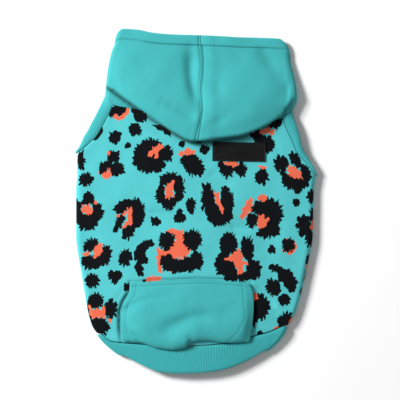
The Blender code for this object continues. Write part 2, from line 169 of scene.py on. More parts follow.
def follow(rows, key, name, at):
    """Smooth curve through one column of a table, level beyond its ends."""
    x = np.array([getattr(row, key) for row in rows])
    y = np.array([getattr(row, name) for row in rows])
    step = np.diff(x)
    rate = np.diff(y) / step
    same = rate[:-1] * rate[1:] > 0
    inner = np.where(same, 2 * rate[:-1] * rate[1:] / np.where(same, rate[:-1] + rate[1:], 1), 0)
    slope = np.concatenate([rate[:1], inner, rate[-1:]])
    at = np.clip(at, x[0], x[-1])
    i = np.clip(np.searchsorted(x, at) - 1, 0, len(step) - 1)
    t = (at - x[i]) / step[i]
    left = y[i] * (1 + 2 * t) * (1 - t) ** 2 + slope[i] * step[i] * t * (1 - t) ** 2
    return left + y[i + 1] * t * t * (3 - 2 * t) - slope[i + 1] * step[i] * t * t * (1 - t)


def eased(t):
    """0 to 1 with level ends."""
    t = np.clip(t, 0, 1)
    return t * t * (3 - 2 * t)


def creased(rows, x, y):
    """Rise and fall of soft folds at a place; each fold dies away towards its ends."""
    height = 0 * x
    for row in rows:
        line = np.array(row.line) / 1000
        runs = np.linalg.norm(np.diff(line, axis=0), axis=1)
        before = np.concatenate([[0], np.cumsum(runs)])
        nearest, share = np.full(x.shape, 9.0), 0 * x
        for start, end, run, first in zip(line, line[1:], runs, before):
            t = np.clip(((x - start[0]) * (end - start)[0] + (y - start[1]) * (end - start)[1]) / run ** 2, 0, 1)
            off = np.hypot(x - start[0] - t * (end - start)[0], y - start[1] - t * (end - start)[1])
            share = np.where(off < nearest, (first + t * run) / before[-1], share)
            nearest = np.minimum(nearest, off)
        ends = 0.35 + 0.65 * eased(4 * np.minimum(share, 1 - share))
        height = height + row.rise / 1000 * ends * np.exp(-((nearest / row.width * 1000) ** 2))
    return height


def section(a, middle, edge):
    """Place across a flattened tube: a = 0 to 1 on top, 1 to 2 round the side fold, 2 to 3 underneath."""
    way = np.sign(edge - middle)
    share = np.where(a <= 1, a, np.where(a <= 2, 1, 3 - a))
    turn = np.clip(a - 1, 0, 1) * math.pi
    return middle + (edge - middle - way * FOLD_RADIUS) * share + way * FOLD_RADIUS * np.sin(turn)


def sunk(a):
    """Share of the top's height that is left on the way round a side fold."""
    return (1 + np.cos(np.clip(a - 1, 0, 1) * math.pi)) / 2


def body_sides(y):
    along = y / BODY_LENGTH
    return HALF_WIDTH * follow(SIDES, "along", "left", along), HALF_WIDTH * follow(SIDES, "along", "right", along)


def body_across(u, y):
    left, right = body_sides(y)
    return section(np.abs(u), (left + right) / 2, np.where(u < 0, left, right))


def pillow(u):
    """Height of the back over the floor at a share of the way to a side fold."""
    return EDGE_HEIGHT + (BACK_HEIGHT - EDGE_HEIGHT) * (1 - np.clip(u, -1, 1) ** 2) ** 1.5


def back_height(x, y):
    left, right = body_sides(y)
    u = (x - (left + right) / 2) / ((right - left) / 2 - FOLD_RADIUS)
    return pillow(u) + creased(BODY_CREASES, x, y) * (1 - np.clip(np.abs(u), 0, 1) ** 6)


def corner_share(hole):
    """Share of the body's half width at which an armhole meets the neck."""
    left, right = body_sides(np.array([BODY_LENGTH]))
    middle = (left[0] + right[0]) / 2
    return abs(hole.across * HALF_WIDTH - middle) / ((right[0] - left[0]) / 2 - FOLD_RADIUS)


def top_seam(x, side):
    """Where the body ends towards the hood: armhole, neck, armhole. side is "back" or "belly"."""
    across = x / HALF_WIDTH
    left = follow(LEFT_HOLE, "across", "along", across)
    right = follow(RIGHT_HOLE, "across", "along", across)
    neck = follow(NECK, "across", side, across)
    along = np.where(across < LEFT_HOLE[-1].across, left, np.where(across > RIGHT_HOLE[0].across, right, neck))
    return BODY_LENGTH * along


def body_point(u, v):
    """Point of the body tube: u round it, v from the waistband seam (0) to the armholes and neck (1)."""
    a = np.abs(u)
    under = a > 1.5
    shoulder = body_across(u, BODY_LENGTH)
    top = np.where(under, top_seam(shoulder, "belly"), top_seam(shoulder, "back")) - GAP / 2
    share = np.sign(u) * np.where(a <= 1, a, np.where(a <= 2, 1, 3 - a))
    low = np.where(under, follow(RIB_SEAM, "across", "belly", share), follow(RIB_SEAM, "across", "back", share))
    low = GAP / 2 - RIB_LENGTH * low
    y = low + (top - low) * v
    x = body_across(u, y)
    z = np.where(a <= 1, back_height(x, y), EDGE_HEIGHT * sunk(a))
    return x, y, z


def uneven(x, y):
    """The soft unevenness of cloth laid out by hand."""
    waves = np.sin(97 * x + 31 * y) + np.sin(61 * y - 43 * x + 1.3) + 0.6 * np.sin(151 * x - 127 * y + 0.6)
    return 0.00022 * waves


def back_relief(u, v, x, y):
    """Fine relief of the back over its main form: sewn edges that dip, folds and unevenness."""
    seams = np.exp(-(1 - v) * BODY_LENGTH / SEAM_SOFTNESS) + np.exp(-v * BODY_LENGTH / SEAM_SOFTNESS)
    seams = seams + np.exp(-(2 + SIDE_WRAP - np.abs(u)) * HALF_WIDTH / SEAM_SOFTNESS)
    top = np.clip((1.2 - np.abs(u)) / 0.3, 0, 1)
    return -SEAM_ROLL * seams + (creased(BODY_FOLDS, x, y) + uneven(x, y)) * top


def laid(place, relief, u, v, flip=1):
    """Points of a cloth's outer face with its relief, and the way that it faces."""
    step = 1e-4
    point = np.stack(place(u, v), axis=-1)
    along_u = np.stack(place(u + step, v), axis=-1) - np.stack(place(u - step, v), axis=-1)
    along_v = np.stack(place(u, v + step), axis=-1) - np.stack(place(u, v - step), axis=-1)
    facing = np.cross(along_u, along_v) * flip
    facing = facing / np.maximum(np.linalg.norm(facing, axis=-1, keepdims=True), 1e-12)
    if relief:
        point = point + facing * relief(u, v, point[..., 0], point[..., 1])[..., None]
    point[..., 0] += SHIFT[0]
    point[..., 1] += SHIFT[1]
    point[..., 2] = np.maximum(point[..., 2], 0)
    return point, facing


def unrolled(point, u):
    """Cloth lengths along both ways of a grid of points, from its middle column and last row."""
    across = np.cumsum(np.linalg.norm(np.diff(point, axis=0, prepend=point[:1]), axis=-1), axis=0)
    along = np.cumsum(np.linalg.norm(np.diff(point, axis=1, prepend=point[:, :1]), axis=-1), axis=1)
    middle = np.argmin(np.abs(u[:, 0]))
    return across - across[middle:middle + 1], along - along[:, -1:]


def cloth(name, place, across, along, materials, relief=None, thickness=WALL, closed=False, flip=1, chart=None,
          thin=None):
    """A sheet of cloth with its outer face where place() puts it and its thickness inwards."""
    u, v = np.meshgrid(np.array(across, float), np.array(along, float), indexing="ij")
    point, _ = laid(place, relief, u, v, flip)
    lengths = np.stack([*(chart(u, v) if chart else unrolled(point, u)), 0 * u], axis=-1)
    bpy.ops.object.select_all(action="DESELECT")
    bpy.ops.mesh.primitive_grid_add(x_subdivisions=u.shape[0] - 1, y_subdivisions=u.shape[1] - 1, size=2)
    sheet = bpy.context.object
    sheet.name = name
    mesh = sheet.data
    mesh.name = name
    flat = np.zeros(3 * len(mesh.vertices))
    mesh.vertices.foreach_get("co", flat)
    flat = flat.reshape(-1, 3)
    i = np.rint((flat[:, 0] + 1) / 2 * (u.shape[0] - 1)).astype(int)
    j = np.rint((flat[:, 1] + 1) / 2 * (u.shape[1] - 1)).astype(int)
    mesh.vertices.foreach_set("co", point[i, j].ravel())
    weave = mesh.attributes.new("flat", "FLOAT_VECTOR", "POINT")
    weave.data.foreach_set("vector", lengths[i, j].ravel())
    for uv in list(mesh.uv_layers):
        mesh.uv_layers.remove(uv)
    if closed:
        merged = bmesh.new()
        merged.from_mesh(mesh)
        bmesh.ops.remove_doubles(merged, verts=merged.verts, dist=0.00001)
        merged.to_mesh(mesh)
        merged.free()
    mesh.update()
    for material in materials:
        mesh.materials.append(material)
    wall = sheet.modifiers.new("Wall", "SOLIDIFY")
    wall.thickness = thickness
    wall.offset = -1
    wall.material_offset = len(materials) - 1
    if thin:
        pressed = sheet.vertex_groups.new(name="pressed")
        for k, share in enumerate(thin(u, v)[i, j]):
            if share > 0:
                pressed.add([k], float(share), "REPLACE")
        wall.vertex_group = "pressed"
        wall.invert_vertex_group = True
        wall.thickness_vertex_group = 0.12
    return sheet


def finished(sheet, node):
    """The cloth gets its thickness, rides on the garment and stands for its node."""
    bpy.ops.object.select_all(action="DESELECT")
    sheet.select_set(True)
    bpy.context.view_layer.objects.active = sheet
    bpy.ops.object.modifier_apply(modifier="Wall")
    bpy.ops.object.shade_smooth_by_angle(angle=math.radians(60))
    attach(sheet, "root")
    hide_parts(node)


def steps(*stations):
    """Stations joined by even steps: value, count to the next, value and so on."""
    found = [stations[0]]
    for start, count, end in zip(stations[0::2], stations[1::2], stations[2::2]):
        found += [start + (end - start) * (k + 1) / count for k in range(count)]
    return found


def node(tree, kind, inputs=(), **settings):
    """A shader node with its settings, its sockets filled with values or joined to other sockets."""
    made = tree.nodes.new("ShaderNode" + kind)
    for key, value in settings.items():
        setattr(made, key, value)
    for key, value in dict(inputs).items():
        if isinstance(value, bpy.types.NodeSocket):
            tree.links.new(value, made.inputs[key])
        else:
            made.inputs[key].default_value = value
    return made


def sums(tree, operation, first, second=0.0, third=0.0):
    return node(tree, "Math", {0: first, 1: second, 2: third}, operation=operation).outputs[0]


FLEECE_WALE = 0.00062  # one knit column of the fleece's face
FLEECE_COURSE = 0.00050
TEAL = (0.046, 0.402, 0.414)
PRINT_TEAL = (0.085, 0.520, 0.545)
PRINT_BLACK = (0.0020, 0.0032, 0.0045)
CORAL = (0.800, 0.145, 0.075)


def knit(name, colour, roughness=0.85, sheen=0.10, specular=0.25, wale=FLEECE_WALE, course=FLEECE_COURSE, depth=0.00008):
    """Knitted cloth: columns and rows of tiny loops, a brushed nap, slightly uneven dye, and painted shade where the
    cloth is marked as lying beside a fold or an edge.
    """
    material = bpy.data.materials.new(name)
    material.use_nodes = True
    tree = material.node_tree
    shader = tree.nodes["Principled BSDF"]
    flat = node(tree, "Attribute", attribute_name="flat").outputs["Vector"]
    columns = node(tree, "TexWave", {"Vector": flat, "Scale": math.pi / 10 / wale, "Distortion": 0.6,
                                     "Detail": 1.0, "Detail Scale": 2.0}, bands_direction="X").outputs["Fac"]
    rows = node(tree, "TexWave", {"Vector": flat, "Scale": math.pi / 10 / course, "Distortion": 0.6,
                                  "Detail": 1.0, "Detail Scale": 2.0}, bands_direction="Y").outputs["Fac"]
    nap = node(tree, "TexNoise", {"Vector": flat, "Scale": 700.0, "Detail": 4.0, "Roughness": 0.65}).outputs["Fac"]
    loops = sums(tree, "MULTIPLY", columns, rows)
    height = sums(tree, "MULTIPLY_ADD", nap, 1.6, sums(tree, "MULTIPLY", loops, 0.7))
    bump = node(tree, "Bump", {"Strength": 0.35, "Distance": depth, "Height": height})
    clouds = node(tree, "TexNoise", {"Vector": flat, "Scale": 55.0, "Detail": 3.0}).outputs["Fac"]
    shade = sums(tree, "MULTIPLY_ADD", clouds, 0.14, 0.93)
    shade = sums(tree, "MULTIPLY_ADD", loops, 0.06, shade)
    # Painted shade: the colour darkens by up to 72 percent where the cloth is marked as lying beside a fold or an edge
    painted_shade = node(tree, "Attribute", attribute_name="painted_fold_shade").outputs["Fac"]
    shade = sums(tree, "MULTIPLY", shade, sums(tree, "MULTIPLY_ADD", painted_shade, -0.72, 1.0))
    dyed = node(tree, "HueSaturation", {"Color": (*colour, 1), "Value": shade, "Saturation": 1.0})
    tree.links.new(dyed.outputs["Color"], shader.inputs["Base Color"])
    tree.links.new(bump.outputs["Normal"], shader.inputs["Normal"])
    rough = sums(tree, "MULTIPLY_ADD", nap, 0.10, roughness - 0.05)
    tree.links.new(rough, shader.inputs["Roughness"])
    shader.inputs["Sheen Weight"].default_value = sheen
    shader.inputs["Sheen Roughness"].default_value = 0.45
    shader.inputs["Sheen Tint"].default_value = (0.70, 0.95, 0.95, 1)
    shader.inputs["Specular IOR Level"].default_value = specular
    return material


# Chart of the print in millimetres, right of and below its corner: middle, half sizes, turn in degrees
Blot = namedtuple("Blot", "x y wide tall turn", defaults=[0])
BLACK_BLOTS = [
    Blot(118.5, 109.5, 8.2, 5.8), Blot(111.5, 114.5, 2.5, 2.5), Blot(139.5, 114.5, 9, 5.4, 38), Blot(137, 118.5, 2.4, 2.6), Blot(135.5, 130, 6, 6.5),
    Blot(114.5, 137.5, 6, 6), Blot(116, 141.2, 3.2, 2.4), Blot(120, 134, 1.8, 1.8), Blot(128, 145.5, 2.6, 2.6), Blot(99.5, 133.5, 5.5, 1.6, -57),
    Blot(96, 138.5, 2, 1.2), Blot(163, 129, 9.5, 2.4, 28), Blot(149, 156.5, 15.2, 16.2), Blot(152, 143.3, 9, 4, 5), Blot(134.3, 163.3, 1.6, 1.8), Blot(166.5, 153.5, 6, 7.5),
    Blot(156, 165, 9, 7), Blot(182, 144, 2.8, 2.8), Blot(192.5, 164.5, 14, 8.5, 45), Blot(200, 141.5, 3, 1),
    Blot(204.5, 149.5, 4.5, 4.5), Blot(113.5, 156, 6.3, 5.5), Blot(104, 167.5, 5, 5.5), Blot(117, 169, 7, 6, 20), Blot(109, 164.5, 1.6, 3.6), Blot(114, 173.8, 3.2, 2.2), Blot(101, 172, 1.6, 2.6),
    Blot(80.5, 160.5, 3.8, 9.5, -3), Blot(85.7, 179.7, 6.8, 6.3), Blot(170.5, 179.5, 11, 6.5),
    Blot(179.5, 188, 5, 12), Blot(161.5, 188.5, 3, 3.6), Blot(176, 199.5, 3.2, 2.6), Blot(160, 196, 4.5, 7), Blot(168.5, 203.5, 6.8, 6.8), Blot(191, 205, 4.2, 7.3),
    Blot(179.8, 218, 5.5, 4.8), Blot(179.5, 212, 2.5, 3), Blot(155.5, 221, 4.3, 3.8), Blot(159, 221, 2, 1.2),
    Blot(89, 198.5, 5.3, 6), Blot(89, 193.5, 2, 2.4), Blot(83.5, 202.5, 1.6, 2.6), Blot(77, 211, 3.4, 11.5), Blot(97.5, 211.8, 6.2, 8.5), Blot(87.5, 222, 9.5, 8.5),
    Blot(123, 206.5, 9.5, 5.5, -35), Blot(137, 213, 7.5, 14), Blot(129, 204, 9, 4.5), Blot(119.5, 222.5, 3.6, 9.5, 25),
    Blot(128.5, 231.5, 5.5, 8, 25), Blot(125.5, 257.5, 6.3, 8.5, 20), Blot(146.5, 244.5, 7.5, 4, -15),
    Blot(140, 255, 5.8, 9.5), Blot(144.5, 260.5, 4, 2.6, -20), Blot(139.5, 270, 3.5, 6.5, -25), Blot(91, 245, 8, 6, -20),
    Blot(105, 255, 6, 10.5, 10), Blot(91, 262, 9.5, 7), Blot(92.3, 280.5, 7, 6.8), Blot(112.5, 275, 4.8, 4),
    Blot(118, 275, 4.5, 4), Blot(115.3, 279.5, 3.6, 5), Blot(127.2, 287, 3.3, 3.6), Blot(147.5, 280.8, 4.5, 1.6),
    Blot(167, 241, 7.5, 9, 15), Blot(192.5, 240, 9, 10), Blot(167.5, 262.3, 6.3, 8), Blot(177, 266, 9, 6.5),
    Blot(187, 264.8, 8.5, 7.5), Blot(196.5, 261, 6.5, 9.5), Blot(208, 199, 6.2, 16.5, -3), Blot(227, 202.5, 6.2, 14, -2), Blot(224.5, 191, 2.8, 4.6),
    Blot(219.8, 214.5, 12.2, 11), Blot(227, 169.5, 7, 7), Blot(220.5, 164, 2.4, 3), Blot(241, 169, 5.6, 7, -10),
    Blot(262, 177.5, 6.3, 6.6), Blot(262.5, 170.5, 3, 2.5), Blot(258, 137, 5, 5), Blot(266, 144, 8, 8.5),
    Blot(270, 146, 4, 5), Blot(277, 122.5, 5.5, 4.5, -45), Blot(270.5, 126.5, 4, 1.8, -25), Blot(280.5, 119, 2.5, 2.5), Blot(256, 133, 6, 1.8, -25),
    Blot(281.5, 163.5, 6.8, 8), Blot(295, 160, 4.5, 8.5, -35), Blot(305.5, 173, 4.8, 8.5, -15),
    Blot(292.5, 181.5, 11, 7.3, 12), Blot(304, 183, 4.8, 5.2), Blot(283.3, 174.5, 2.6, 2), Blot(298, 190.5, 4, 2.5), Blot(312.3, 196, 3.8, 6.3), Blot(296.2, 202.7, 3.2, 3.8),
    Blot(270, 213.5, 12.8, 14.6), Blot(256, 208.8, 5, 4.2), Blot(251.5, 221, 5.3, 7.2), Blot(263.5, 204, 8.5, 4.6), Blot(269, 231.5, 12, 5.6, -8),
    Blot(228.5, 244, 9, 11), Blot(223, 256, 5.4, 3), Blot(247.7, 248.5, 6.4, 11.3, -5), Blot(225, 266, 10, 9.3), Blot(219.5, 261, 4, 4.6), Blot(238.5, 276.8, 14, 4.2), Blot(234, 271, 3, 2),
    Blot(253.5, 269.5, 7.3, 9.6, -5), Blot(250, 262, 2.4, 3), Blot(271.7, 249.5, 3.7, 3.9), Blot(288.7, 245, 6.3, 6.8),
    Blot(304, 224.5, 7, 10), Blot(301.8, 234, 2.2, 3), Blot(311, 238.5, 4.2, 8.5, -15), Blot(314.2, 214.5, 2.8, 6.2), Blot(311.6, 260, 2.2, 5),
    Blot(309, 274.5, 2.8, 6.3, 15), Blot(276, 268.5, 6.5, 3.5, 10), Blot(286, 275.5, 6.6, 6.3, 35), Blot(280, 277, 1.8, 4.6), Blot(286, 283.5, 2.2, 2.6),
    Blot(291.5, 284, 5, 8), Blot(292, 289, 2.2, 3.8), Blot(273.3, 287.7, 6.8, 8.3, -25), Blot(277.5, 290, 3.2, 3.6), Blot(284.3, 299.7, 5.6, 5.6), Blot(281, 302, 1.8, 2),
    Blot(260, 306.5, 9.3, 12.6), Blot(254.5, 318, 2.6, 7.6), Blot(259.8, 333, 2.3, 2), Blot(285.5, 320.5, 7.2, 8.6, 30), Blot(283, 327.6, 6.6, 2.8, -22),
    Blot(299, 312.5, 1.4, 4.6, 15), Blot(304.3, 292, 1.4, 4.6, 15), Blot(95.5, 301, 7.5, 8), Blot(110.5, 309, 6.3, 9.3),
    Blot(99.5, 326.5, 9.5, 9), Blot(89, 314, 2, 9.5, -15),
    # round the sides and under them
    Blot(66, 176, 6, 9, 10), Blot(60, 196, 5, 4.5), Blot(64, 232, 7, 8), Blot(57, 246, 3.5, 6), Blot(66, 268, 5, 6.5),
    Blot(71, 296, 4.5, 8, -8), Blot(62, 302, 3.5, 3.5), Blot(74, 322, 6, 5), Blot(332, 196, 6, 8),
    Blot(325, 222, 4, 9, 8), Blot(336, 228, 3.5, 4), Blot(328, 252, 6.5, 6), Blot(324, 283, 4.5, 8, 12),
    Blot(334, 291, 3.2, 3.2), Blot(322, 309, 5, 6),
]
# Coral that lies over the black, and coral that the black covers
CORAL_BLOTS = [
    Blot(115.5, 116.5, 2.6, 2.2), Blot(119.5, 118.2, 3.4, 2), Blot(124, 115.5, 3.4, 2, -45),
    Blot(128, 110.8, 3.6, 2, -70), Blot(155.5, 150, 8.5, 2.6, -35), Blot(156.6, 155.5, 1.7, 4, -10),
    Blot(181.5, 153.8, 2, 3.3, 20), Blot(188, 151.5, 3.8, 3.6), Blot(193.5, 152, 2, 2), Blot(108.5, 153, 1.9, 2.4),
    Blot(106.5, 175.5, 5.3, 3, 3), Blot(109, 171, 1.5, 3), Blot(98.6, 172.5, 0.9, 1.8), Blot(169.4, 190.5, 3.8, 8.4),
    Blot(172.5, 183.3, 1.5, 3.4, 15), Blot(87.2, 209.5, 5.8, 5), Blot(96, 203, 1.4, 2.6, -20),
    Blot(129.6, 216.5, 2.5, 8.6), Blot(125.6, 224.5, 1.6, 3.6, 25), Blot(125, 213.5, 3, 1.5, -40), Blot(129, 223.3, 3.8, 1.4),
    Blot(118.3, 215.6, 1.6, 1.5), Blot(97.5, 251, 4, 7.5, 20), Blot(101, 246, 1.6, 2),
    Blot(86.3, 253.8, 4.5, 1.8, -8), Blot(153.3, 279, 8.5, 3.2), Blot(217.4, 198.3, 2.3, 7.2, -8), Blot(221, 208, 2, 5, -15),
    Blot(231, 163.5, 7.5, 2), Blot(233.4, 165.4, 1.5, 1.6), Blot(263, 167.3, 5.4, 1.4, 8), Blot(262.5, 132, 2.8, 2.8),
    Blot(267.5, 130.5, 3.2, 3), Blot(272.5, 132.5, 2.2, 3), Blot(292.5, 171.5, 4.5, 6.5, -35),
    Blot(299, 174.2, 2.2, 5.2, -25), Blot(246.6, 208.5, 3.8, 10.3, 28), Blot(262.6, 197.7, 5, 3, -15),
    Blot(261, 220.6, 3.2, 7), Blot(265, 221, 4.3, 2.6, -30), Blot(262, 225.6, 4.6, 2.2), Blot(236, 258, 7, 5.5),
    Blot(239.3, 252.5, 1.8, 4), Blot(240.4, 267, 2.8, 7.2, 6), Blot(237.5, 266, 2, 4, -25), Blot(246.2, 263, 1.6, 2.6, -40), Blot(227, 259, 3.5, 1.2),
    Blot(314.3, 226, 2.6, 4.6), Blot(309, 266.8, 2, 2.2), Blot(255, 296.8, 2.6, 3.8),
    Blot(277.2, 329.2, 3.8, 2.6), Blot(293, 321, 2, 3.8, 15), Blot(97, 313.5, 8.3, 4.6), Blot(90, 308, 1.5, 3.6, -20), Blot(103.7, 309, 1.6, 3.6, 12), Blot(104, 317, 1.8, 1.8),
    Blot(110, 320.5, 1.3, 2.6), Blot(64, 184, 2.5, 4), Blot(62, 238, 3, 4.5), Blot(332, 203, 3, 3.5),
    Blot(324, 290, 2.2, 3.5),
]
COVERED_BLOTS = [
    Blot(178, 249.5, 13, 9), Blot(166, 253, 7, 3.4), Blot(172, 231.5, 6, 2.5), Blot(180, 236, 5, 6), Blot(159.6, 258.5, 2.5, 11.3, -6),
    Blot(173, 270, 3.5, 2.2), Blot(290, 246.4, 6.8, 7),
]
CHART_X = 0.1955  # chart corner to the garment's middle
CHART_Y = 0.342
SPIKE_PITCH = 1.8  # millimetres between the ragged strokes round a blot
SPIKE_LENGTH = 2.1
BLOT_MERGE = 0.9


def print_chart(u, v):
    """Place of the cloth on the print's chart: as seen from above on the back, unrolled round the sides."""
    a = np.abs(u)
    _, y, _ = body_point(u, v)
    left, right = body_sides(y)
    x = body_across(np.sign(u) * np.minimum(a, 1), y)
    inwards = np.maximum(a - 2, 0) * ((right - left) / 2 - FOLD_RADIUS)
    return x + np.sign(u) * (np.clip(a - 1, 0, 1) * FOLD_ARC + inwards), y


def unrolled_blots(rows):
    """The blots with those on a side fold moved out to where the unrolled cloth has them."""
    found = []
    for row in rows:
        left, right = body_sides(np.array([CHART_Y - row.y / 1000]))
        x = row.x / 1000 - CHART_X
        way = -1 if x < 0 else 1
        bend = (left[0] if way < 0 else right[0]) - way * FOLD_RADIUS
        past = way * (x - bend) / FOLD_RADIUS
        if 0 < past < 1.6:
            turn = math.asin(min(past, 0.95))
            out = way * (turn * FOLD_ARC / math.pi - past * FOLD_RADIUS) * 1000
            row = row._replace(x=row.x + out, wide=row.wide * min(1 / math.cos(turn), 1.5))
        found.append(row)
    return found


def inked(mesh, name, rows, spread):
    """Marks every vertex with how far it is outside the nearest blot, and where from the blot's middle."""
    flat = np.zeros(3 * len(mesh.vertices), np.float32)
    mesh.attributes["flat"].data.foreach_get("vector", flat)
    flat = flat.reshape(-1, 3).astype(float)
    x = 1000 * (flat[:, 0] + CHART_X)
    y = 1000 * (CHART_Y - flat[:, 1])
    wobble = 0.35 * (np.sin(0.9 * x + 1.7 * np.sin(0.5 * y)) + np.sin(0.8 * y + 1.9 * np.sin(0.6 * x)))
    outside = np.full(len(x), 99.0)
    middle = np.zeros((len(x), 4))
    for row in unrolled_blots(rows):
        near = np.flatnonzero(np.hypot(x - row.x, y - row.y) < max(row.wide, row.tall) + 8)
        turn = math.radians(row.turn)
        dx, dy = x[near] - row.x, y[near] - row.y
        p = dx * math.cos(turn) + dy * math.sin(turn)
        q = dy * math.cos(turn) - dx * math.sin(turn)
        reach = np.hypot(p / row.wide, q / row.tall)
        fall = np.maximum(np.hypot(p / row.wide ** 2, q / row.tall ** 2), 1e-6)
        off = np.where(reach < 0.05, -min(row.wide, row.tall), reach * (reach - 1) / fall)
        outside[near] = np.minimum(outside[near], off)
        pull = np.exp(-np.clip(off, -12, 12) / BLOT_MERGE)
        size = (row.wide + row.tall) / 2
        far = np.maximum(np.hypot(dx, dy), 1e-6)
        middle[near] += pull[:, None] * np.stack([dx / far, dy / far, 0 * dx + size, 0 * dx + 1], axis=1)
    middle = middle[:, :3] / np.maximum(middle[:, 3:], 1e-9)
    mesh.attributes.new(name, "FLOAT", "POINT").data.foreach_set("value", outside + wobble - spread)
    mesh.attributes.new(name + "_middle", "FLOAT_VECTOR", "POINT").data.foreach_set("vector", middle.ravel())


def ragged(tree, name, seed):
    """1 inside the blots of an ink and 0 outside, with spiky strokes round their edges."""
    outside = node(tree, "Attribute", attribute_name=name).outputs["Fac"]
    middle = node(tree, "Attribute", attribute_name=name + "_middle").outputs["Vector"]
    parts = node(tree, "SeparateXYZ", {0: middle})
    level = node(tree, "VectorMath", {0: middle, 1: (1, 1, 0)}, operation="MULTIPLY").outputs[0]
    round_it = node(tree, "VectorMath", {0: level}, operation="NORMALIZE").outputs[0]
    turns = sums(tree, "DIVIDE", parts.outputs["Z"], SPIKE_PITCH)
    strokes = node(tree, "VectorMath", {0: round_it, 3: turns}, operation="SCALE").outputs[0]
    flat = node(tree, "Attribute", attribute_name="flat").outputs["Vector"]
    own = node(tree, "VectorMath", {0: flat, 1: (40, 40, 0)}, operation="MULTIPLY").outputs[0]
    own = node(tree, "VectorMath", {0: own, 1: (0, 0, seed)}, operation="ADD").outputs[0]
    place = node(tree, "VectorMath", {0: strokes, 1: own}, operation="ADD").outputs[0]
    noise = node(tree, "TexNoise", {"Vector": place, "Scale": 1.0, "Detail": 1.0, "Roughness": 0.5}).outputs["Fac"]
    spike = node(tree, "MapRange", {0: noise, 1: 0.3, 2: 0.7, 3: -1.0, 4: 1.0}).outputs[0]
    length = node(tree, "MapRange", {0: parts.outputs["Z"], 1: 1.5, 2: 7.0, 3: 0.25, 4: SPIKE_LENGTH}).outputs[0]
    agreed = node(tree, "VectorMath", {0: level}, operation="LENGTH").outputs["Value"]
    agreed = node(tree, "MapRange", {0: agreed, 1: 0.75, 2: 0.98, 3: 0.0, 4: 1.0}).outputs[0]
    length = sums(tree, "MULTIPLY", length, agreed)
    upright = sums(tree, "ABSOLUTE", node(tree, "SeparateXYZ", {0: round_it}).outputs["Y"])
    length = sums(tree, "MULTIPLY", length, sums(tree, "MULTIPLY_ADD", upright, 0.6, 0.65))
    edge = sums(tree, "MULTIPLY_ADD", spike, length, outside)
    return node(tree, "MapRange", {0: edge, 1: -0.12, 2: 0.12, 3: 1.0, 4: 0.0}).outputs[0]


fleece = knit("teal_fleece", TEAL)
printed = knit("printed_fleece", PRINT_TEAL, sheen=0.03, specular=0.12)
tree = printed.node_tree
ground = [link.from_socket for link in tree.links if link.to_socket.name == "Base Color"][0]
for name, colour, seed in (("covered", CORAL, 3.0), ("black", PRINT_BLACK, 11.0), ("coral", CORAL, 23.0)):
    mask = ragged(tree, name, seed)
    ground = node(tree, "Mix", {0: mask, 6: ground, 7: (*colour, 1)}, data_type="RGBA").outputs[2]
tree.links.new(ground, tree.nodes["Principled BSDF"].inputs["Base Color"])

neck_left = corner_share(LEFT_HOLE[-1])
neck_right = corner_share(RIGHT_HOLE[0])
wrap = 2 + SIDE_WRAP
hem_rows = [0.0, 0.002, 0.005, 0.009, 0.014, 0.02]
rows = [*hem_rows, *steps(0.02, 160, 0.98)[1:], *[1 - k for k in reversed(hem_rows[:-1])]]
columns = steps(-wrap, 8, -2, 12, -1, 18, -neck_left, 140, neck_right, 18, 1, 12, 2, 8, wrap)
back = cloth("printed_back", body_point, columns, rows, [printed, fleece], back_relief, chart=print_chart)
inked(back.data, "black", BLACK_BLOTS, 0.6)
inked(back.data, "coral", CORAL_BLOTS, 0.1)
inked(back.data, "covered", COVERED_BLOTS, 0.3)
finished(back, "back_panel")

# ---------------------------------------------------------------------------------------------------
# Belly panel. Plain teal fleece between the two seams under the sides, lying flat on the floor.
# ---------------------------------------------------------------------------------------------------
seam = 3 - wrap - GAP / (HALF_WIDTH - FOLD_RADIUS)


def belly_point(s, v):
    return body_point(np.where(s < 0, -3 - s, 3 - s), v)


def belly_relief(s, v, x, y):
    """Only its sewn edges rise from the floor."""
    edges = np.exp(-(1 - v) * BODY_LENGTH / SEAM_SOFTNESS) + np.exp(-v * BODY_LENGTH / SEAM_SOFTNESS)
    return -0.5 * SEAM_ROLL * (edges + np.exp(-(seam - np.abs(s)) * HALF_WIDTH / SEAM_SOFTNESS))


belly_columns = steps(seam, 2, 0.98 * seam, 10, neck_right, 50, -neck_left, 10, -0.98 * seam, 2, -seam)
belly_rows = steps(0, 4, 0.02, 70, 0.98, 4, 1)
belly = cloth("belly_fleece", belly_point, belly_columns, belly_rows, [fleece], belly_relief)
finished(belly, "belly_panel")

# ---------------------------------------------------------------------------------------------------
# Waistband. A deeper teal rib knit, folded double and sewn to the tail end of the body all round.
# Its ribs are raised columns of knit that run from the seam to the folded edge.
# ---------------------------------------------------------------------------------------------------
RIB_TEAL = (0.040, 0.385, 0.400)
RIB_PITCH = 0.0025
RIB_DEPTH = 0.00030
RIB_SAMPLES = 7  # columns of mesh to a rib
RIB_EDGE = [
    Rim(-1.000, 0.467, 0.467),
    Rim(-0.850, 0.667, 0.367),
    Rim(-0.660, 0.875, 0.233),
    Rim(-0.500, 1.000, 0.167),
    Rim(-0.190, 1.050, 0.100),
    Rim(0.135, 1.020, 0.100),
    Rim(0.430, 0.920, 0.133),
    Rim(0.690, 0.710, 0.200),
    Rim(0.880, 0.495, 0.267),
    Rim(1.000, 0.317, 0.317),
]
RIB_EDGE_LEFT = -0.627  # its side folds, as shares of HALF_WIDTH
RIB_EDGE_RIGHT = 0.602


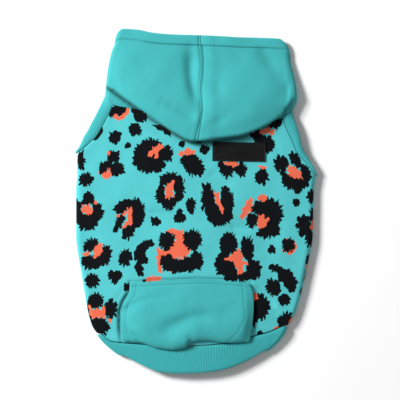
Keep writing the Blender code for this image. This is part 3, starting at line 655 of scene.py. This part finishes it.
def rib_point(u, v):
    """Point of the waistband: u round it, v from its open edge (0) to the seam (1)."""
    a = np.abs(u)
    under = a > 1.5
    share = np.sign(u) * np.where(a <= 1, a, np.where(a <= 2, 1, 3 - a))
    ends = []
    for rim in (RIB_EDGE, RIB_SEAM):
        on_back, on_belly = follow(rim, "across", "back", share), follow(rim, "across", "belly", share)
        ends.append(-RIB_LENGTH * np.where(under, on_belly, on_back))
    y = ends[0] + (ends[1] - 2 * GAP - ends[0]) * v
    seam_left, seam_right = body_sides(ends[1])
    left = seam_left + (RIB_EDGE_LEFT * HALF_WIDTH - seam_left) * (1 - v) * (1 - 0.4 * v)
    right = seam_right + (RIB_EDGE_RIGHT * HALF_WIDTH - seam_right) * np.clip(1 - v, 0, 1) ** 1.6
    x = section(a, (left + right) / 2, np.where(u < 0, left, right))
    z = pillow(share) * sunk(a) * (0.86 + 0.14 * v)
    return x, y, z


coarse = np.linspace(-3, 3, 1201)
middle_line = np.stack(rib_point(coarse, 0 * coarse + 0.4), axis=1)
rib_round = np.concatenate([[0], np.cumsum(np.linalg.norm(np.diff(middle_line, axis=0), axis=1))])
ribs = round(rib_round[-1] / RIB_PITCH)
rib_columns = np.interp(np.linspace(0, rib_round[-1], ribs * RIB_SAMPLES + 1), rib_round, coarse)


def rib_relief(u, v, x, y):
    """Raised ribs, flattened where the band is folded at its edge and gathered into the seam."""
    count = np.interp(u, coarse, rib_round) / rib_round[-1] * ribs
    gathered = 1 - 0.95 * np.exp(-(((u + 0.96) / 0.17) ** 2))
    rib = np.abs(np.cos(math.pi * count)) ** 0.8 * RIB_DEPTH * gathered
    ends = np.exp(-(1 - v) * RIB_LENGTH / SEAM_SOFTNESS) * SEAM_ROLL + np.exp(-v * RIB_LENGTH / 0.0009) * 0.0008
    return rib * eased(v * 12) * eased((1 - v) * 10 + 0.3) - ends


rib_knit = knit("teal_rib", RIB_TEAL, wale=RIB_PITCH / 3, course=0.0007, sheen=0.15)
band = cloth("rib_band", rib_point, rib_columns, [0, 0.012, 0.03, 0.06, *steps(0.1, 7, 0.9), 0.95, 0.98, 1],
             [rib_knit], rib_relief, closed=True)
finished(band, "waistband")

# ---------------------------------------------------------------------------------------------------
# Armhole bindings. Folded strips of the teal fleece, sewn along the armhole edges and topstitched.
# Each runs from a neck corner over the back, round the side and under the belly to the same corner.
# ---------------------------------------------------------------------------------------------------
END_BULGE = 0.0006
SEWN_GAP = 0.0003
END_LENGTH = 0.006  # over which an end dips under the hood
END_ROUND = 0.0008
End = namedtuple("End", "reach slant")  # how far an end reaches to the hood at the seam, and more at the fold
LEFT_END = End(0.0002, 0.0014)
RIGHT_END = End(0.0002, 0.0028)
BINDING_PUFF = 0.0005
THREAD_TEAL = (0.030, 0.300, 0.320)
THREAD = 0.00026  # radius


def binding_point(c, q, rows, way):
    """Point of an armhole binding: c round it like u on the body, and past the neck corner underneath up its
    own end; q from the seam (0) outwards."""
    neck = rows[-1] if way < 0 else rows[0]
    arm = rows[0] if way < 0 else rows[-1]
    start = corner_share(neck)
    a = np.where(c <= 3 - start, c, start)
    left, right = body_sides(0 * c + BODY_LENGTH)
    x = section(a, (left + right) / 2, left if way < 0 else right)
    y = top_seam(x, "back")
    turn = np.clip(c - 3 + start, 0, 1) * math.pi
    z = np.where(a <= 1, pillow(a), EDGE_HEIGHT * sunk(a))
    z = np.where(turn > 0, pillow(start) * (1 - np.cos(turn)) / 2, z)
    line = np.array([(neck.across - arm.across) * HALF_WIDTH, (neck.along - arm.along) * BODY_LENGTH])
    line = line / np.hypot(*line)
    out = np.array([-line[1], line[0]]) * -way
    width = BINDING_WIDTH * follow(rows, "across", "width", x / HALF_WIDTH) - GAP
    end = LEFT_END if way < 0 else RIGHT_END
    near = eased(1 - 1.6 * (np.where(a <= 1, a, 3 - a) - start) / (1 - start))
    bulge = END_BULGE * np.sin(turn) + (end.reach + end.slant * np.clip(q, 0, 1) ** 1.4) * near
    tip = eased(1 - (np.where(a <= 1, a, 3 - a) - start) * HALF_WIDTH / END_LENGTH) * np.clip(q, 0, 1) ** 2
    bulge = bulge - END_ROUND * (2 * np.clip(q, 0, 1) - 1) ** 4 * tip
    x = x + line[0] * bulge + out[0] * (SEWN_GAP + q * width)
    y = y + line[1] * bulge + out[1] * (SEWN_GAP + q * width)
    return x, y, z * (1 - 0.12 * q) * (1 - 0.30 * tip)


def binding_relief(c, q, x, y):
    """Full between its stitched line and its folded edge."""
    stitched = -0.00030 * np.exp(-((q - 0.16) / 0.06) ** 2)
    edges = np.exp(-q * BINDING_WIDTH / 0.0009) * 0.0007 + np.exp(-(1 - q) * BINDING_WIDTH / 0.0010) * 0.0008
    return (BINDING_PUFF * np.sin(math.pi * np.clip(q, 0, 1)) ** 0.7 + stitched - edges) * (c < 1.5) - 0.0004 * (c >= 1.5) * edges / 0.0008


def stitch_shape():
    """One stitch: a short thread with rounded ends, a unit long."""
    bpy.ops.object.select_all(action="DESELECT")
    bpy.ops.mesh.primitive_uv_sphere_add(segments=6, ring_count=5, radius=0.5)
    start = bpy.context.object
    points = np.array([v.co for v in start.data.vertices])
    faces = [tuple(p.vertices) for p in start.data.polygons]
    bpy.data.objects.remove(start)
    return points[:, [2, 0, 1]], faces


def thread(name, colour):
    """Twisted polyester thread."""
    material = bpy.data.materials.new(name)
    material.use_nodes = True
    tree = material.node_tree
    shader = tree.nodes["Principled BSDF"]
    place = node(tree, "TexCoord").outputs["Object"]
    twist = node(tree, "TexWave", {"Vector": place, "Scale": math.pi / 10 / 0.0003, "Distortion": 0.0},
                 bands_direction="DIAGONAL").outputs["Fac"]
    shade = sums(tree, "MULTIPLY_ADD", twist, 0.3, 0.8)
    dyed = node(tree, "HueSaturation", {"Color": (*colour, 1), "Value": shade})
    bump = node(tree, "Bump", {"Strength": 0.4, "Distance": 0.00005, "Height": twist})
    tree.links.new(dyed.outputs["Color"], shader.inputs["Base Color"])
    tree.links.new(bump.outputs["Normal"], shader.inputs["Normal"])
    shader.inputs["Roughness"].default_value = 0.55
    shader.inputs["Sheen Weight"].default_value = 0.1
    return material


stitch_points, stitch_faces = stitch_shape()
teal_thread = thread("teal_thread", THREAD_TEAL)


def stitches(name, lines, material, pitch=0.0030, length=0.0023, radius=THREAD, sink=0.0):
    """Rows of stitches: each line is its points and the way the cloth faces there."""
    points, faces = [], []
    for line, facing in lines:
        run = np.concatenate([[0], np.cumsum(np.linalg.norm(np.diff(line, axis=0), axis=1))])
        count = max(1, int(run[-1] / pitch))
        for k in range(count):
            at = (k + 0.5) / count * run[-1]
            ends = [np.array([np.interp(at + s * length / 2, run, line[:, i]) for i in range(3)]) for s in (-1, 1)]
            up = np.array([np.interp(at, run, facing[:, i]) for i in range(3)])
            along = (ends[1] - ends[0]) / max(np.linalg.norm(ends[1] - ends[0]), 1e-9)
            up = up - along * up.dot(along)
            up = up / np.linalg.norm(up)
            aside = np.cross(up, along)
            base = sum(len(p) for p in points[-1:]) and len(points) * len(stitch_points)
            arch = (0.25 - stitch_points[:, 0] ** 2) * 0.8
            shape = ((ends[0] + ends[1]) / 2 + np.outer(stitch_points[:, 0] * length, along)
                     + np.outer(stitch_points[:, 1] * 2 * radius, aside)
                     + np.outer((stitch_points[:, 2] * 2 + arch - sink) * radius, up))
            points.append(shape)
            faces += [tuple(base + i for i in face) for face in stitch_faces]
    mesh = bpy.data.meshes.new(name)
    mesh.from_pydata([tuple(p) for p in np.concatenate(points)], [], faces)
    mesh.update()
    row = bpy.data.objects.new(name, mesh)
    bpy.context.scene.collection.objects.link(row)
    mesh.materials.append(material)
    mesh.shade_smooth()
    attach(row, "root")
    return row


for side, hole, neck, way, flat in (
    ("left", LEFT_HOLE, neck_left, -1, (0.0120, 0.130)),
    ("right", RIGHT_HOLE, neck_right, 1, (0.0120, 0.125)),
):
    low = [3 - s for s in steps(seam, 20, neck)]
    loop = [*steps(neck, 34, 1, 14, 2), wrap, *low, *steps(3 - neck, 10, 4 - neck)[1:]]
    loop = loop if way > 0 else loop[::-1]

    def place(c, q, hole=hole, way=way):
        return binding_point(c, q, hole, way)

    def strip_end(c, q, start=neck):
        away = np.where(c <= 3 - start, np.minimum(c, 3 - c), start) - start
        return eased(1 - away * HALF_WIDTH / 0.004)

    strip = cloth("binding_" + side, place, loop, [0, 0.04, 0.09, *steps(0.14, 9, 0.9), 0.95, 0.98, 1], [fleece],
                  binding_relief, closed=True, flip=way, thin=strip_end)
    c = np.linspace(neck + 0.01, 3 - neck - 0.02, 400)
    row = stitches("binding_stitches_" + side, [laid(place, binding_relief, c, 0 * c + 0.16, way)], teal_thread)
    finished(strip, "armhole_binding_" + side)

# ---------------------------------------------------------------------------------------------------
# Hood. Two halves of teal fleece joined by a seam down the middle and sewn to the neck. It hangs in a fold
# over the neck seam; its open edge is turned in for 10 mm and stitched down.
# ---------------------------------------------------------------------------------------------------
TUCK_HEIGHT = 0.0044
SAG_HEIGHT = 0.0074
TUCK_DEPTH = 0.009
HOOD_EDGE_HEIGHT = 0.0088
RIGHT_LEAN = 0.0026  # how much lower the right half lies towards its side
TUCK_END = 0.12  # share of the half width over which the tuck draws back under the top layer
FOLD_FADE = 0.07  # share of the half width over which the fold closes up at the side
FOLD_DOME = 3.4  # how late the fold's height dies away towards the side
HEM_WIDTH = 0.0102
HEM_THICKNESS = 0.0006
Outline = namedtuple("Outline", "along left seam right")
HOOD = [
    Outline(-0.256, -0.768, 0.012, 0.826),
    Outline(0.116, -0.768, 0.053, 0.809),
    Outline(0.186, -0.763, 0.050, 0.834),
    Outline(0.256, -0.755, 0.045, 0.846),
    Outline(0.395, -0.744, 0.040, 0.838),
    Outline(0.535, -0.734, 0.052, 0.817),
    Outline(0.674, -0.718, 0.054, 0.793),
    Outline(0.814, -0.693, 0.046, 0.776),
    Outline(0.884, -0.672, 0.041, 0.763),
    Outline(0.953, -0.660, 0.038, 0.743),
    Outline(1.047, -0.643, 0.037, 0.734),
]
Hem = namedtuple("Hem", "round left right")
HEM = [
    Hem(0.00, 0.988, 0.988),
    Hem(0.25, 0.994, 0.977),
    Hem(0.50, 1.006, 0.965),
    Hem(0.65, 1.023, 0.962),
    Hem(0.80, 1.052, 0.958),
    Hem(1.00, 1.064, 0.948),
    Hem(1.50, 1.012, 0.837),
    Hem(2.00, 0.907, 0.744),
    Hem(2.50, 0.512, 0.465),
    Hem(3.00, 0.267, 0.267),
]
Sag = namedtuple("Sag", "across along")
SAG = [
    Sag(-0.743, 0.390),
    Sag(-0.710, 0.372),
    Sag(-0.618, 0.279),
    Sag(-0.485, 0.151),
    Sag(-0.328, 0.000),
    Sag(-0.195, -0.128),
    Sag(-0.095, -0.209),
    Sag(-0.037, -0.244),
    Sag(0.037, -0.253),
    Sag(0.162, -0.227),
    Sag(0.378, -0.186),
    Sag(0.519, -0.116),
    Sag(0.660, -0.006),
    Sag(0.734, 0.070),
    Sag(0.801, 0.151),
    Sag(0.842, 0.256),
]
Drop = namedtuple("Drop", "along fallen")
DROP = [
    Drop(0.00, 0.00),
    Drop(0.12, -0.05),
    Drop(0.28, 0.08),
    Drop(0.50, 0.45),
    Drop(0.72, 0.80),
    Drop(1.00, 1.00),
]
HOOD_CREASES = [
    Fold([(-5, 293), (-4.5, 281), (-4.5, 268), (-2.5, 256), (1, 244), (3, 236)], -3.5, 6),
    Fold([(-33, 238), (-19, 233), (-7, 227), (3, 223)], -1.8, 5),
    Fold([(10, 205), (17, 216), (30, 223)], -1.4, 4.5),
    Fold([(62, 300), (73, 287), (84, 270), (90, 256)], -2.0, 9),
    Fold([(-56, 250), (-35, 236)], 0.7, 15),
    Fold([(24, 203), (46, 208), (70, 218)], 2.0, 11),
    Fold([(21, 262), (24, 243)], -0.8, 6),
]
HOOD_FOLDS = [
    Fold([(-5, 280), (-5, 268), (-3, 253), (0, 244)], -0.5, 3),
    Fold([(-20, 234), (-7, 227), (3, 223)], -0.4, 2.5),
    Fold([(-60, 288), (-48, 268)], -0.4, 6),
    Fold([(62, 296), (72, 284), (80, 271)], -0.5, 5),
    Fold([(-72, 262), (-66, 248)], -0.35, 4),
    Fold([(38, 290), (50, 278)], -0.35, 5),
]


def hood_point(u, g, side):
    """Point of a hood half: u from the centre seam round to the throat, g from the neck seam over the two
    turns of the fold (1 to 2 and 3 to 4) to the hem (5)."""
    a = np.abs(u)
    way = -1 if side == "left" else 1
    neck_edge = HALF_WIDTH * (NECK[0].across if side == "left" else NECK[-1].across)
    x = section(a, HALF_WIDTH * HOOD[1].seam, neck_edge + 0 * a)
    on_back = BODY_LENGTH * follow(NECK, "across", "back", x / HALF_WIDTH)
    on_belly = BODY_LENGTH * follow(NECK, "across", "belly", x / HALF_WIDTH)
    neck = np.where(a <= 1.5, on_back + GAP / 2, on_belly + 1.4 * GAP)
    hem = BODY_LENGTH + HOOD_LENGTH * follow(HEM, "round", side, a)
    low = back_height(x, 0 * x + BODY_LENGTH)
    fold = BODY_LENGTH + HOOD_LENGTH * follow(SAG, "across", "along", x / HALF_WIDTH)
    full = np.where(a <= 1, eased((1 - a) / FOLD_FADE), 0)
    dome = 1 - 0.82 * np.clip(a, 0, 1) ** FOLD_DOME
    tucked = np.maximum(neck, fold) + TUCK_DEPTH * np.minimum(1.6 * dome, 1)
    kept = eased((0.93 - a) / TUCK_END)
    tuck = fold + (tucked - fold) * kept
    r0 = TUCK_HEIGHT / 2 * kept
    r1 = (TUCK_HEIGHT + SAG_HEIGHT) / 2 - r0
    leg = [np.clip(g - i, 0, 1) for i in range(5)]
    flat = neck + (hem - neck) * (0.05 * (leg[0] + leg[1] + leg[2]) + 0.07 * leg[3] + 0.78 * leg[4])
    bent = neck + (tuck - r0 - neck) * leg[0] + r0 * np.sin(math.pi * leg[1])
    roll = SAG_HEIGHT / 2
    bent = bent + (fold + roll - tuck + r0) * leg[2] - roll * np.sin(math.pi * leg[3]) + (hem - fold - roll) * leg[4]
    y = flat + (bent - flat) * full
    rise = r0 * (1 - np.cos(math.pi * leg[1])) + r1 * (1 - np.cos(math.pi * leg[3]))
    crest = low + (TUCK_HEIGHT + SAG_HEIGHT) * dome
    edge = HOOD_EDGE_HEIGHT * (1 + 0.15 * (1 - np.clip(a, 0, 1) ** 2))
    top = low + rise * dome + (edge - crest) * follow(DROP, "along", "fallen", leg[4]) * np.sign(leg[4])
    along = (y - BODY_LENGTH) / HOOD_LENGTH
    middle = HALF_WIDTH * follow(HOOD, "along", "seam", along) + way * GAP * 0.75
    outer = HALF_WIDTH * follow(HOOD, "along", side, along)
    x = section(a, middle, outer)
    top = top + creased(HOOD_CREASES, x, y) * eased(leg[4] * 4) * (1 - np.clip(a, 0, 1) ** 6)
    if side == "right":
        top = top - RIGHT_LEAN * np.clip(a, 0, 1) ** 2.5 * eased(leg[4] * 3)
    return x, y, top * sunk(a)


# Painted shade: the dark lines beside the fold of the hood, down its centre seam and along its hem stitching, and
# beside the pocket's left and upper edges; each rise is the share of painted darkening at its line
SHADE_BESIDE_HOOD = [
    Fold([(-91, 256), (-86, 252.5), (-75, 244.5), (-59, 233), (-40, 220), (-24, 209.5), (-12, 202.5), (-4.5, 199.5),
          (4.5, 199), (20, 201), (46, 204.5), (63, 210.5), (80, 220), (89, 226.5), (97, 233.5)], 1.0, 1.9),
    Fold([(-92, 256.5), (-86, 252.5), (-75, 244.5), (-56, 231)], 0.9, 1.7),
    Fold([(4.6, 309), (4.9, 298), (5.5, 292), (6.5, 280), (6.3, 268), (4.8, 256), (5.4, 244), (6.4, 232), (3.9, 216),
          (1.4, 200)], 0.75, 0.9),
    Fold([(-79, 303.4), (-62, 302.3), (-37, 298.4), (4.9, 296.9), (47.5, 294.9), (73, 294.3), (90, 293.4)], 0.4, 0.9),
]
SHADE_BESIDE_POCKET = [
    Fold([(-66, 60), (-67, 50), (-73, 40), (-76, 30), (-76.5, 15), (-75, 0)], 1.0, 1.9),
    Fold([(-66, 60.5), (-35, 62.5), (0, 64), (30, 63), (55, 60.5)], 0.5, 0.9),
]


def paint_fold_shade(mesh, rows):
    """Marks where shade is painted into the cloth's colour along the given lines, as a share from 0 to 1, on its parts
    higher than half the side edge.
    """
    spots = np.zeros(3 * len(mesh.vertices))
    mesh.vertices.foreach_get("co", spots)
    x, y, z = spots.reshape(-1, 3).T
    share = creased(rows, x - SHIFT[0], y - SHIFT[1]) * 1000 * (z > EDGE_HEIGHT / 2)
    mesh.attributes.new("painted_fold_shade", "FLOAT", "POINT").data.foreach_set("value", np.clip(share, 0, 1))


def hood_inset(u, g, side):
    """How far a point of the outer layer lies in from the open edge."""
    _, y, _ = hood_point(u, g, side)
    return BODY_LENGTH + HOOD_LENGTH * follow(HEM, "round", side, np.abs(u)) - y


def hood_relief(u, g, x, y, side):
    """Stitched hem, dipping centre seam with a raised lip on its right, folds and unevenness."""
    a = np.abs(u)
    inset = hood_inset(u, g, side)
    outer = g > 4
    hem = HEM_THICKNESS * eased((HEM_WIDTH - inset) / 0.0012 + 0.5)
    hem = hem - 0.00045 * np.exp(-((inset - HEM_WIDTH) / 0.0008) ** 2) - 0.0009 * np.exp(-inset / 0.0009)
    off = a * HALF_WIDTH * 0.74
    if side == "left":
        middle = 0.0002 * np.exp(-(((off - 0.0042) / 0.0020) ** 2)) - 0.0017 * np.exp(-off / 0.0014)
    else:
        middle = 0.0007 * np.exp(-(((off - 0.0100) / 0.0060) ** 2)) - 0.0015 * np.exp(-off / 0.0009)
    soft = (creased(HOOD_FOLDS, x, y) + 1.3 * uneven(x + 0.02, y)) * eased((g - 4) * 5) * np.clip((1.2 - a) / 0.3, 0, 1)
    neck = -SEAM_ROLL * np.exp(-g * 0.012 / SEAM_SOFTNESS) * (g < 1)
    return hem * outer + middle * np.where(g > 3, 1, 0.3) + soft + neck


def pleat_end(u, g):
    """Where the fold closes up at the side and its layers are pressed thin."""
    a = np.abs(u)
    return eased((a - 0.80) / 0.08) * eased((1.12 - a) / 0.06) * eased((4.10 - g) / 0.08)


half = [0, 0.004, 0.010, 0.018, 0.028, *steps(0.04, 54, 0.86, 28, 1, 12, 2, 34, 3)]
folds = [0, 0.03, 0.08, 0.2, *steps(0.4, 4, 1, 8, 2, 6, 3, 12, 4), *steps(4, 46, 4.86)[1:]]
folds = [*folds, *steps(4.86, 14, 4.92, 6, 4.98, 4, 5)[1:]]
for side in ("left", "right"):
    columns = half if side == "right" else [-k for k in reversed(half)]

    def place(u, g, side=side):
        return hood_point(u, g, side)

    def relief(u, g, x, y, side=side):
        return hood_relief(u, g, x, y, side)

    hood_half = cloth("hood_half_" + side, place, columns, folds, [fleece], relief, thin=pleat_end)
    u = np.linspace(0.02, 2.95, 500) * (1 if side == "right" else -1)
    fine = np.linspace(4.4, 5, 241)
    g = np.array([np.interp(-HEM_WIDTH, -hood_inset(0 * fine + k, fine, side), fine) for k in u])
    row = stitches("hem_stitches_" + side, [laid(place, relief, u, g)], teal_thread)
    finished(hood_half, "hood_" + side)
    # Painted shade along the fold, centre seam and hem of this hood half
    paint_fold_shade(hood_half.data, SHADE_BESIDE_HOOD)
# Painted shade beside the hood's fold and the pocket's edges, on the back panel
paint_fold_shade(back.data, SHADE_BESIDE_HOOD + SHADE_BESIDE_POCKET)

# ---------------------------------------------------------------------------------------------------
# Pocket. A pouch of teal fleece open at both sides, sewn down along the top and at the waist seam.
# It bulges softly over the band; its top and its two mouths are turned in and topstitched.
# ---------------------------------------------------------------------------------------------------
POCKET_HEIGHT = 0.0068
POCKET_LEAN = 0.12  # share by which its right part lies lower
PocketSide = namedtuple("PocketSide", "down left right")
POCKET_SIDES = [
    PocketSide(0.00, -0.544, 0.452),
    PocketSide(0.16, -0.552, 0.477),
    PocketSide(0.33, -0.598, 0.484),
    PocketSide(0.47, -0.620, 0.483),
    PocketSide(0.75, -0.622, 0.469),
    PocketSide(1.00, -0.610, 0.448),
]
PocketEdge = namedtuple("PocketEdge", "across top bottom")
POCKET_EDGES = [
    PocketEdge(0.000, 0.266, 0.002),
    PocketEdge(0.150, 0.273, -0.005),
    PocketEdge(0.270, 0.278, -0.029),
    PocketEdge(0.390, 0.281, -0.038),
    PocketEdge(0.490, 0.283, -0.028),
    PocketEdge(0.545, 0.284, -0.002),
    PocketEdge(0.670, 0.282, 0.004),
    PocketEdge(0.820, 0.275, -0.005),
    PocketEdge(1.000, 0.266, -0.002),
]
Slope = namedtuple("Slope", "drop width")  # how much lower the pocket lies at a mouth, and how far in
LEFT_SLOPE = Slope(0.0046, 0.013)
RIGHT_SLOPE = Slope(0.0042, 0.006)
POCKET_CREASES = [
    Fold([(-40, 10), (-28, 14), (-14, 20), (-3, 25), (8, 26), (24, 25)], -2.9, 8.5),
    Fold([(-28, -5), (-10, -4), (8, 3)], 1.5, 9),
    Fold([(-77, 28), (-67, 33), (-55, 41), (-45, 45), (-25, 46)], -1.2, 4),
]
POCKET_FOLDS = [
    Fold([(-27, 16), (-11, 23), (1, 27), (13, 28)], -0.4, 4),
    Fold([(4, 13), (12, 8)], -0.3, 3),
    Fold([(-66, 9), (-59, 5), (-54, 0)], -1.1, 2.4),
    Fold([(-10, 7), (-7, 4), (-3, 0)], -0.6, 3.2),
    Fold([(-77, 30), (-66, 37), (-56, 42)], -0.5, 2.2),
    Fold([(26, 33), (40, 30)], -0.3, 4),
    Fold([(4, 17), (20, 8)], -0.35, 4),
]
# Topstitching of the mouths: how far in from the side, down the pocket, in millimetres
Mouth = namedtuple("Mouth", "down left right")
MOUTHS = [
    Mouth(0.00, 8.0, 9.0),
    Mouth(0.30, 7.0, 10.0),
    Mouth(0.55, 5.5, 8.0),
    Mouth(0.78, 6.0, 12.5),
    Mouth(0.90, 7.0, 18.0),
    Mouth(1.00, 8.5, 24.0),
]


def pocket_fullness(v):
    """Rises from the sewn top edge and drops quickly at the lower one."""
    t = np.clip(1 - v, 0, 1)
    return np.sin(math.pi / 2 * np.minimum(t / 0.85, 1)) * (1 - t ** 9) ** 0.7


def pocket_point(w, v):
    """Point of the pocket: w across, v from its lower edge (0) to its upper one (1)."""
    top = BODY_LENGTH * follow(POCKET_EDGES, "across", "top", w)
    low = BODY_LENGTH * follow(POCKET_EDGES, "across", "bottom", w)
    y = low + (top - low) * v
    left = HALF_WIDTH * follow(POCKET_SIDES, "down", "left", 1 - v)
    right = HALF_WIDTH * follow(POCKET_SIDES, "down", "right", 1 - v)
    x = left + (right - left) * w
    free = pocket_fullness(v)
    height = POCKET_HEIGHT * (1 - POCKET_LEAN * eased((w - 0.42) / 0.40))
    z = back_height(x, y) + WALL + GAP + (height + creased(POCKET_CREASES, x, y)) * free
    return x, y, z


def pocket_relief(w, v, x, y):
    """Stitched lines, rolled edges and the small folds of the pouch."""
    deep = BODY_LENGTH * 0.28
    wide = HALF_WIDTH * 1.08
    lines = 0 * w
    for inset in (0.0010, 0.0038):
        lines = lines + np.exp(-((((1 - v) * deep - inset) / 0.0006) ** 2))
    for inset, across in (("left", w), ("right", 1 - w)):
        lines = lines + np.exp(-(((across * wide - follow(MOUTHS, "down", inset, 1 - v) / 1000) / 0.0007) ** 2))
    edges = np.exp(-w * wide / 0.0009) + np.exp(-(1 - w) * wide / 0.0009)
    edges = edges + np.exp(-(1 - v) * deep / 0.0007) + np.exp(-v * deep / 0.0010)
    mouths = LEFT_SLOPE.drop * np.exp(-((w * wide / LEFT_SLOPE.width) ** 2))
    mouths = mouths + RIGHT_SLOPE.drop * np.exp(-(((1 - w) * wide / RIGHT_SLOPE.width) ** 2))
    return -0.00050 * lines - 0.0006 * edges - mouths * pocket_fullness(v) + creased(POCKET_FOLDS, x, y) + 0.8 * uneven(x, y + 0.03)


pocket_columns = [0, 0.003, 0.008, 0.014, *steps(0.02, 104, 0.98), 0.986, 0.992, 0.997, 1]
pocket_rows = [0, 0.006, 0.014, *steps(0.024, 50, 0.90, 16, 0.99), 0.995, 1]
pouch = cloth("pocket_pouch", pocket_point, pocket_columns, pocket_rows, [fleece], pocket_relief)
w = np.linspace(0.01, 0.99, 300)
v = np.linspace(0.02, 0.93, 200)
lines = [laid(pocket_point, pocket_relief, w, 0 * w + 1 - inset / (BODY_LENGTH * 0.28)) for inset in (0.0010, 0.0038)]
wide = HALF_WIDTH * 1.08
for column, sign in (("left", 1), ("right", -1)):
    inset = follow(MOUTHS, "down", column, 1 - v) / 1000 / wide
    lines.append(laid(pocket_point, pocket_relief, inset if sign > 0 else 1 - inset, v))
row = stitches("pocket_stitches", lines, teal_thread)
finished(pouch, "pocket")

# ---------------------------------------------------------------------------------------------------
# Label. A small black woven strip, left bare, sewn flat on the back under the hood with black thread.
# ---------------------------------------------------------------------------------------------------
LABEL_LENGTH = 0.053
LABEL_WIDTH = 0.019
LABEL_THICKNESS = 0.0008
LABEL_ACROSS = 0.361
LABEL_ALONG = 0.857
LABEL_TURN = math.radians(-1.0)
LABEL_BLACK = (0.0006, 0.0008, 0.0008)
LABEL_EDGE = 0.0014  # stitched line in from its edge


def label_point(w, v):
    """Point of the label, turned a little on the back."""
    dx = (w - 0.5) * LABEL_LENGTH
    dy = (v - 0.5) * LABEL_WIDTH
    x = LABEL_ACROSS * HALF_WIDTH + dx * math.cos(LABEL_TURN) - dy * math.sin(LABEL_TURN)
    y = LABEL_ALONG * BODY_LENGTH + dx * math.sin(LABEL_TURN) + dy * math.cos(LABEL_TURN)
    return x, y, back_height(x, y) + LABEL_THICKNESS + GAP


def label_relief(w, v, x, y):
    """Its edge is pulled down by the stitches."""
    nearest = np.minimum(np.minimum(w, 1 - w) * LABEL_LENGTH, np.minimum(v, 1 - v) * LABEL_WIDTH)
    return uneven(x, y) + creased(BODY_FOLDS, x, y) - 0.00020 * np.exp(-((nearest - LABEL_EDGE) / 0.0005) ** 2)


def woven(name, colour):
    """Tight satin weave: fine weft ribs crossed by warp threads."""
    material = bpy.data.materials.new(name)
    material.use_nodes = True
    tree = material.node_tree
    shader = tree.nodes["Principled BSDF"]
    flat = node(tree, "Attribute", attribute_name="flat").outputs["Vector"]
    weft = node(tree, "TexWave", {"Vector": flat, "Scale": math.pi / 10 / 0.00045}, bands_direction="Y").outputs["Fac"]
    warp = node(tree, "TexWave", {"Vector": flat, "Scale": math.pi / 10 / 0.00032}, bands_direction="X").outputs["Fac"]
    noise = node(tree, "TexNoise", {"Vector": flat, "Scale": 400.0, "Detail": 3.0}).outputs["Fac"]
    height = sums(tree, "MULTIPLY_ADD", warp, 0.5, weft)
    bump = node(tree, "Bump", {"Strength": 0.6, "Distance": 0.00008, "Height": height})
    shade = sums(tree, "MULTIPLY_ADD", weft, 0.5, sums(tree, "MULTIPLY_ADD", noise, 0.5, 0.5))
    dyed = node(tree, "HueSaturation", {"Color": (*colour, 1), "Value": shade})
    tree.links.new(dyed.outputs["Color"], shader.inputs["Base Color"])
    tree.links.new(bump.outputs["Normal"], shader.inputs["Normal"])
    shader.inputs["Roughness"].default_value = 0.6
    shader.inputs["Specular IOR Level"].default_value = 0.2
    return material


label = cloth("woven_label", label_point, steps(0, 4, 0.03, 60, 0.97, 4, 1), steps(0, 5, 0.1, 20, 0.9, 5, 1),
              [woven("black_label", LABEL_BLACK)], label_relief, thickness=LABEL_THICKNESS)
inset_w = LABEL_EDGE / LABEL_LENGTH
inset_v = LABEL_EDGE / LABEL_WIDTH
run = np.linspace(0, 1, 100)
across = inset_w + (1 - 2 * inset_w) * run
up = inset_v + (1 - 2 * inset_v) * run
lines = [
    laid(label_point, label_relief, across, 0 * run + inset_v),
    laid(label_point, label_relief, 0 * run + 1 - inset_w, up),
    laid(label_point, label_relief, across[::-1], 0 * run + 1 - inset_v),
    laid(label_point, label_relief, 0 * run + inset_w, up[::-1]),
]
row = stitches("label_stitches", lines, thread("black_thread", (0.02, 0.021, 0.024)), pitch=0.0026,
               length=0.0020, radius=0.00018)
finished(label, "label")

# ---------------------------------------------------------------------------------------------------
# Studio. A plain white floor under soft light from the upper left, seen from straight above.
# ---------------------------------------------------------------------------------------------------
VIEW = 0.400  # width of the view
VIEW_MIDDLE = (0.00375, 0.0008)
CAMERA_HEIGHT = 3.0
SURFACE_HEIGHT = 0.010


def floor_finish():
    material = bpy.data.materials.new("white_floor")
    material.use_nodes = True
    tree = material.node_tree
    shader = tree.nodes["Principled BSDF"]
    place = node(tree, "TexCoord").outputs["Object"]
    grain = node(tree, "TexNoise", {"Vector": place, "Scale": 30.0, "Detail": 2.0}).outputs["Fac"]
    tone = node(tree, "MapRange", {0: grain, 3: 0.975, 4: 0.985}).outputs[0]
    tree.links.new(tone, shader.inputs["Base Color"])
    shader.inputs["Roughness"].default_value = 0.9
    return material


bpy.ops.object.select_all(action="DESELECT")
bpy.ops.mesh.primitive_plane_add(size=6, location=(0, 0, -0.0003))
floor = bpy.context.object
floor.name = "floor"
floor.data.materials.append(floor_finish())
floor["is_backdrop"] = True


def lamp(name, place, size, power, colour=(1, 1, 1)):
    """A soft box aimed at the garment."""
    light = bpy.data.lights.new(name, "AREA")
    light.size = size
    light.energy = power
    light.color = colour
    box = bpy.data.objects.new(name, light)
    box.location = place
    aim = -box.location
    box.rotation_euler = aim.to_track_quat("-Z", "Y").to_euler()
    bpy.context.scene.collection.objects.link(box)


lamp("key", (-2.22, 1.20, 1.90), 0.85, 137)
world = bpy.context.scene.world or bpy.data.worlds.new("studio")
bpy.context.scene.world = world
world.use_nodes = True
world.node_tree.nodes["Background"].inputs["Color"].default_value = (1, 1, 1, 1)
world.node_tree.nodes["Background"].inputs["Strength"].default_value = 0.30

bpy.context.scene.view_settings.view_transform = "Standard"

camera_data = bpy.data.cameras.new("camera")
camera_data.sensor_width = 36
camera_data.lens = 36 * (CAMERA_HEIGHT - SURFACE_HEIGHT) / VIEW
camera = bpy.data.objects.new("camera", camera_data)
camera.location = (*VIEW_MIDDLE, CAMERA_HEIGHT)
bpy.context.scene.collection.objects.link(camera)
bpy.context.scene.camera = camera

low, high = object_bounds()
